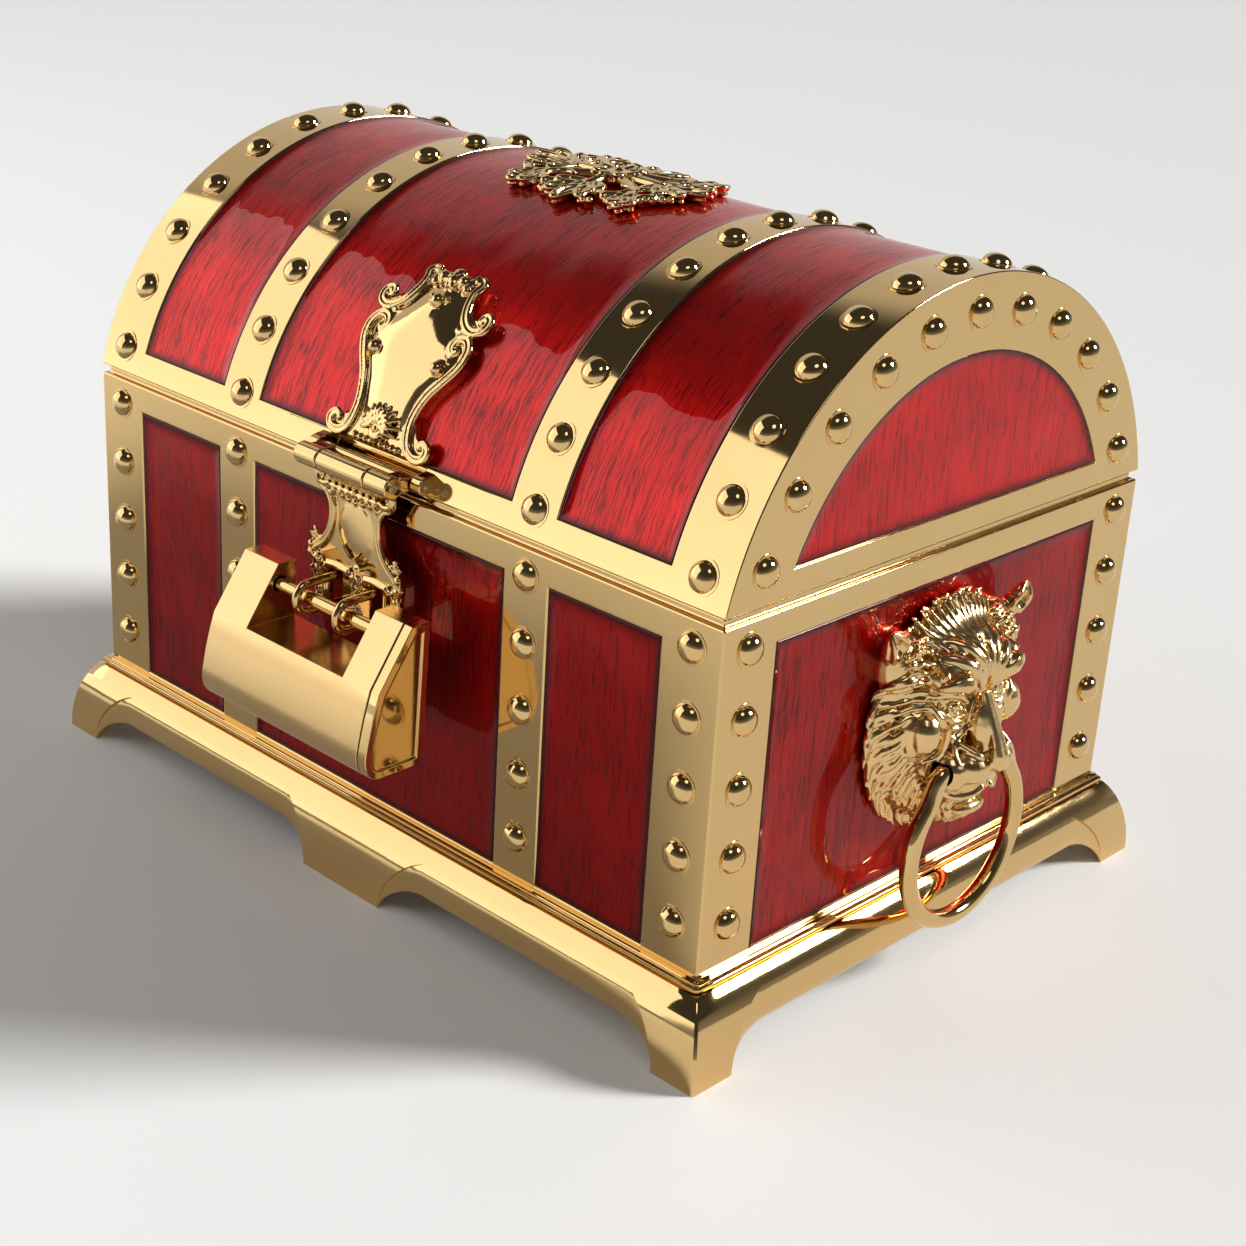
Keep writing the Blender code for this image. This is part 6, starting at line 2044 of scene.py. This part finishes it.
# %% Head masses
HEAD_GRAIN = 0.245 * MM
HEAD_Z = TUB_TOP - 31.0 * MM
HEAD_MASSES = (
    ((0.0, 0.0, 0.5), (7.2, 18.4, 20.6)), ((2.0, 0.0, 1.5), (7.9, 15.2, 17.2)),
    ((4.4, 0.0, 11.0), (5.9, 9.8, 6.2)), ((7.0, 0.0, -9.2), (6.4, 9.4, 5.2)),
    ((4.8, 0.0, -15.6), (4.6, 6.8, 4.2)), ((10.4, 0.0, -1.5), (3.7, 2.9, 7.5)),
    ((0.6, -13.2, 12.6), (4.6, 5.8, 6.0)), ((0.6, 13.2, 12.6), (4.6, 5.8, 6.0)),
)
SIDE_MASSES = (
    ((11.2, 3.9, -6.3), (4.2, 3.6, 3.3)), ((9.0, 6.8, -7.2), (4.2, 3.4, 4.0)),
    ((6.6, 7.4, 10.8), (4.3, 4.6, 3.0)), ((6.3, 11.9, 0.7), (3.9, 3.3, 4.3)),
    ((4.4, 11.2, 0.2), (4.3, 4.7, 5.9)),
)
NOSE_AND_CHIN = (((14.2, 0.0, -5.2), (2.7, 2.5, 2.2)), ((9.4, 0.0, -15.9), (2.7, 4.7, 1.7)))
NOSTRIL_AND_EYE = (((13.2, 2.6, -6.0), (2.0, 1.5, 1.6)), ((8.4, 6.3, 5.3), (1.5, 1.35, 1.2)))
NOSE_BRIDGE = ((10.6, 0.4, 7.2), (12.2, 0.45, 3.6), (14.2, 0.55, -0.6), (15.5, 0.75, -4.4))
BRIDGE_RADII = (0.7, 0.85, 1.0, 1.3)
BLEND_POWER = 10


def both_sides(table):
    """A table of masses with its mirror images."""
    return list(table) + [((x, -y, z), size) for (x, y, z), size in table]


FACE_MASSES = list(HEAD_MASSES) + both_sides(SIDE_MASSES)


def face_reach(y, z, masses=FACE_MASSES):
    """How far the face stands out at a spot: a soft maximum of the big masses."""
    total = 0
    for middle, size in masses:
        inside = 1 - ((y - middle[1]) / size[1]) ** 2 - ((z - middle[2]) / size[2]) ** 2
        if inside > 0:
            total += max(middle[0] + size[0] * sqrt(inside), 0) ** BLEND_POWER
    return total ** (1 / BLEND_POWER)


def mass(place, size):
    """A big soft volume, given in millimetres."""
    return ball([value * MM for value in place], [value * MM for value in size])


def bar(points, thick, side=1, flat=1.0):
    """A soft bar through a few points (reach, across, up), in millimetres."""
    path = smooth_path([(x * MM, side * y * MM, z * MM) for x, y, z in points], 5)
    return swept(path, scaled(1, *thick), (1, 0, 0), 8, flat)


def fold(spots, thick, lift, side):
    """A wrinkle laid on the face through spots (across, up)."""
    return bar([(face_reach(y, z) + lift, y, z) for y, z in spots], thick, side)


# %% Wrinkles of the face
FOLDS = (
    (((11.2, 9.4), (10.0, 10.4), (8.2, 10.8), (6.3, 10.1), (4.3, 8.4), (1.8, 6.9)),
     (0.6, 1.5, 2.1, 1.7, 0.9), -0.2),
    (((10.8, 12.0), (9.1, 13.6), (7.1, 13.9), (4.8, 12.7), (2.8, 10.4), (1.5, 7.9)),
     (0.6, 1.2, 1.35, 1.1, 0.6), 0.5),
    (((8.9, 15.0), (6.4, 16.1), (4.1, 15.6), (2.5, 13.7), (1.6, 11.2), (1.0, 8.6)),
     (0.5, 1.05, 1.1, 0.9, 0.5), 0.5),
    (((5.0, 17.0), (3.0, 17.1), (1.4, 15.6), (0.7, 12.8), (0.5, 9.8)), (0.5, 0.85, 0.85, 0.65, 0.4), 0.5),
    (((12.6, 8.0), (10.6, 7.8), (8.2, 7.7), (5.8, 7.0), (3.6, 5.4)), (0.4, 0.65, 0.75, 0.6, 0.4), 0.3),
    (((8.3, 5.9), (7.6, 4.3), (6.2, 3.8), (4.8, 4.6)), (0.25, 0.42, 0.42, 0.25), 0.35),
    (((9.9, 6.2), (9.0, 4.0), (7.2, 2.6), (5.2, 2.5), (3.6, 3.8)), (0.3, 0.55, 0.6, 0.5, 0.3), 0.25),
    (((11.4, 6.4), (10.4, 3.9), (8.3, 1.5), (6.0, 1.0), (3.8, 2.0)), (0.4, 0.7, 0.75, 0.6, 0.35), 0.2),
    (((12.2, 6.0), (9.8, 4.2), (8.2, 1.4), (8.0, -1.8), (9.2, -4.0), (12.0, -4.9)),
     (0.4, 0.7, 0.75, 0.75, 0.5), 0.2),
    (((8.0, 0.6), (6.0, -1.6), (4.2, -3.4), (2.8, -4.0)), (0.4, 0.75, 0.75, 0.4), 0.2),
    (((6.0, -1.6), (4.4, -0.4), (2.8, 0.6)), (0.7, 0.6, 0.35), 0.15),
    (((6.0, -1.6), (7.0, -3.4), (7.6, -5.0)), (0.7, 0.6, 0.4), 0.15),
    (((14.0, -5.2), (11.4, -8.6), (9.2, -11.4), (6.8, -12.9)), (0.5, 0.9, 0.9, 0.5), 0.1),
    (((0.9, -10.6), (3.2, -11.9), (6.2, -12.0), (8.8, -10.6)), (0.5, 0.8, 0.8, 0.5), 0.3),
    (((0.3, -13.9), (2.6, -14.1), (5.2, -13.6), (7.2, -12.6)), (0.4, 0.6, 0.55, 0.3), 0.4),
)


def head_parts():
    """The big masses, the nose, the eyes and the folds of both sides."""
    masses = FACE_MASSES + list(NOSE_AND_CHIN) + both_sides(NOSTRIL_AND_EYE)
    parts = [mass(*entry) for entry in masses]
    for side in (-1, 1):
        parts.append(bar(NOSE_BRIDGE, BRIDGE_RADII, side))
        parts += [fold(*entry, side) for entry in FOLDS]
    return parts


# %% Mane, ears and beard
MANE_SEED = 7
MANE_MIDDLE = 0.6
MANE_LIMIT = (20.7, 22.6)
MANE_DROOP = 0.8
FORELOCK = range(-6, 7)
FORELOCK_SHAPE = (0.75, 1.4)
BEARD = range(-3, 4)
BEARD_SHAPE = (0.75, 0.9)
MANE_ROWS = (
    ((13.2, 14.8), (18.4, 19.6), 62, 0.66, 0.9),
    ((16.4, 17.8), (20.2, 21.8), 70, 0.66, 0.6),
    ((18.0, 19.8), (21.0, 23.2), 78, 0.62, 0.4),
)
EAR = (((1.5, 16.0, 14.6), (2.6, 18.2, 17.2), (3.0, 20.0, 20.4)), (2.0, 2.4, 0.5))
EAR_FLATNESS = 0.8
EAR_RIM = (((3.2, 15.9, 16.0), (4.4, 16.6, 18.8), (3.6, 19.9, 20.8), (4.5, 20.0, 17.8), (3.4, 18.6, 14.8)),
           (0.5, 0.65, 0.4, 0.65, 0.5))


def lock(start, end, bend, width, lift):
    """One lock of hair, from (across, up) to (across, up), with its tip standing off."""
    start, end = Vector(start), Vector(end)
    way = end - start
    aside = Vector((-way.y, way.x)).normalized()
    points = []
    for share in (0, 0.3, 0.65, 1.0):
        spot = start + way * share + aside * bend * sin(share * pi * 1.2)
        points.append((max(face_reach(*spot, HEAD_MASSES) + lift * (0.1 + share), 0.3), *spot))
    return bar(points, (0.8 * width, width, 0.9 * width, 0.3 * width), flat=1.15)


def mane_row(row, root, tip, count, width, lift):
    """A ring of locks between two ovals, drooping at the sides."""
    parts = []
    for index in range(count):
        turn = tau * (index + 0.5 * (row % 2)) / count
        wobble = noise.noise(Vector((index * 1.7, row * 5.3, MANE_SEED)))
        sway = turn + 0.16 * sin(turn) * (1.3 - cos(turn)) + 0.06 * wobble
        grow = 1 + 0.03 * wobble
        start = (root[0] * sin(turn), MANE_MIDDLE + root[1] * cos(turn))
        droop = MANE_DROOP * abs(sin(turn))
        end = (tip[0] * grow * sin(sway), MANE_MIDDLE + tip[1] * grow * cos(sway) - droop)
        end = [max(min(value, limit), -limit) for value, limit in zip(end, MANE_LIMIT)]
        bend = (0.45 + 0.5 * wobble) * (1 if sin(turn) > 0 else -1)
        parts.append(lock(start, end, bend, width, lift + 0.5 * (index % 2)))
    return parts


def mane():
    """Three rows round the face, a swept forelock and a short beard."""
    parts = []
    for row, entry in enumerate(MANE_ROWS):
        parts += mane_row(row, *entry)
    for index in FORELOCK:
        start = (index * 0.75, 16.4 - 0.10 * abs(index))
        end = (index * 1.75, 22.4 - 0.08 * index * index)
        parts.append(lock(start, end, -0.12 * index, *FORELOCK_SHAPE))
    for index in BEARD:
        start = (index * 1.3, -18.2 + 0.2 * abs(index))
        end = (index * 1.7, -22.6 + 0.45 * abs(index))
        parts.append(lock(start, end, 0.15 * index, *BEARD_SHAPE))
    return parts


def ears():
    """Two cupped ears above the mane."""
    parts = []
    for side in (-1, 1):
        parts += [bar(*EAR, side, EAR_FLATNESS), bar(*EAR_RIM, side)]
    return parts


# %% Cuts in the relief and its two copies
DENTS = (((15.6, 1.7, -6.9), 1.2, 1.2), ((4.6, 18.2, 17.4), 1.9, 1.6), ((9.9, 6.3, 5.3), 0.6, 0.5))
RING_CLEARANCE = ((8.0, 0.0), (9.2, 0.3), (10.2, 1.4), (10.9, 2.95), (11.6, 4.6), (12.8, 6.4))
NOSE_HALF = 2.0 * MM
NOSE_REACH = 10.0 * MM
NOSE_LOW = -6.5 * MM
NOSE_HIGH = 7.5 * MM
NOSE_SOFTENING = 8
RELIEF_SOFTENING = 2
WAIST_GAP = 0.3 * MM
HEAD_BACK = -0.75 * MM


def dent(bm, place, radius, depth, side):
    """Press the relief in round a spot, as a thumb does in clay."""
    place = Vector((place[0], side * place[1], place[2])) * MM
    for vert in bm.verts:
        away = (vert.co - place).length / (radius * MM)
        if away < 1:
            vert.co.x -= depth * MM * (1 - away * away) ** 2


def cut_flat(bm, place, normal, **cleared):
    """Cut a closed shape by a plane, drop one side and close it again."""
    bmesh.ops.bisect_plane(bm, geom=everything(bm), plane_co=place, plane_no=normal, **cleared)
    bmesh.ops.holes_fill(bm, edges=[edge for edge in bm.edges if edge.is_boundary], sides=0)


def ring_way():
    """The holes for the pins and the room that the bent ends sweep, in the head's drawing."""
    waist = RING_WIRE + WAIST_GAP
    half = [(waist + away * MM, across * MM) for across, away in RING_CLEARANCE]
    half.append((0, half[-1][1]))
    bm = turned([(radius, -across) for radius, across in reversed(half)] + half, 32)
    pivot = Vector((RING_PIVOT_X - HALF_X, 0, RING_PIVOT_Z - HEAD_Z))
    upright = Matrix.Translation(pivot) @ Matrix.Rotation(-pi / 2, 4, "X")
    bmesh.ops.transform(bm, matrix=upright, verts=bm.verts)
    for normal in (Vector((-1, 0, 0)), Vector((0, 0, 1))):
        cut_flat(bm, pivot + normal * waist, normal, clear_outer=True)
    bmesh.ops.recalc_face_normals(bm, faces=bm.faces)
    return bm


def lion_relief():
    """The finished relief, flat behind."""
    bm = fused(head_parts() + mane() + ears(), HEAD_GRAIN, RELIEF_SOFTENING)
    ridge = [vert for vert in bm.verts if abs(vert.co.y) < NOSE_HALF and vert.co.x > NOSE_REACH
             and NOSE_LOW < vert.co.z < NOSE_HIGH]
    soften(bm, ridge, NOSE_SOFTENING)
    for side in (-1, 1):
        for entry in DENTS:
            dent(bm, *entry, side)
    cut_flat(bm, (HEAD_BACK, 0, 0), (1, 0, 0), clear_inner=True)
    bmesh.ops.recalc_face_normals(bm, faces=bm.faces)
    return cut(bm, [ring_way()])


def make_lions():
    """The same relief on both ends, mirrored."""
    relief = lion_relief()
    for name, side in ENDS:
        bm = relief.copy()
        for vert in bm.verts:
            reach, across, rise = vert.co
            vert.co = (side * (HALF_X + reach), MID_Y + across, HEAD_Z + rise)
        if side < 0:
            bmesh.ops.reverse_faces(bm, faces=bm.faces)
        finish_piece(f"lion_{name}", bm, SATIN_GOLD, "root", [f"lion_head_{name}"], turn=False)
    relief.free()


make_lions()

# %% [markdown]
# ## Finishes of the frame's own solids
# The frame's plain solids stay hidden where a modelled piece stands for them. One of them, the
# leaf spring on the padlock's stem, is simple enough to be shown as it is. So all of them wear
# the finish that the record names.

# %% Remaining frame nodes take their finishes
NODE_FINISH = {"enamel": TUB_ENAMEL_PAINTED_SHADE, "velvet": RED_FLOCK, "flock": BLACK_FLOCK, "steel": STEEL, "gilt": GOLD}
SLOT_OF = {row["node"]: row["material_slot"] for row in frame["record"]["subparts"]}
for node, item in frame["nodes"].items():
    item.data.materials.clear()
    item.data.materials.append(NODE_FINISH[SLOT_OF[node]])
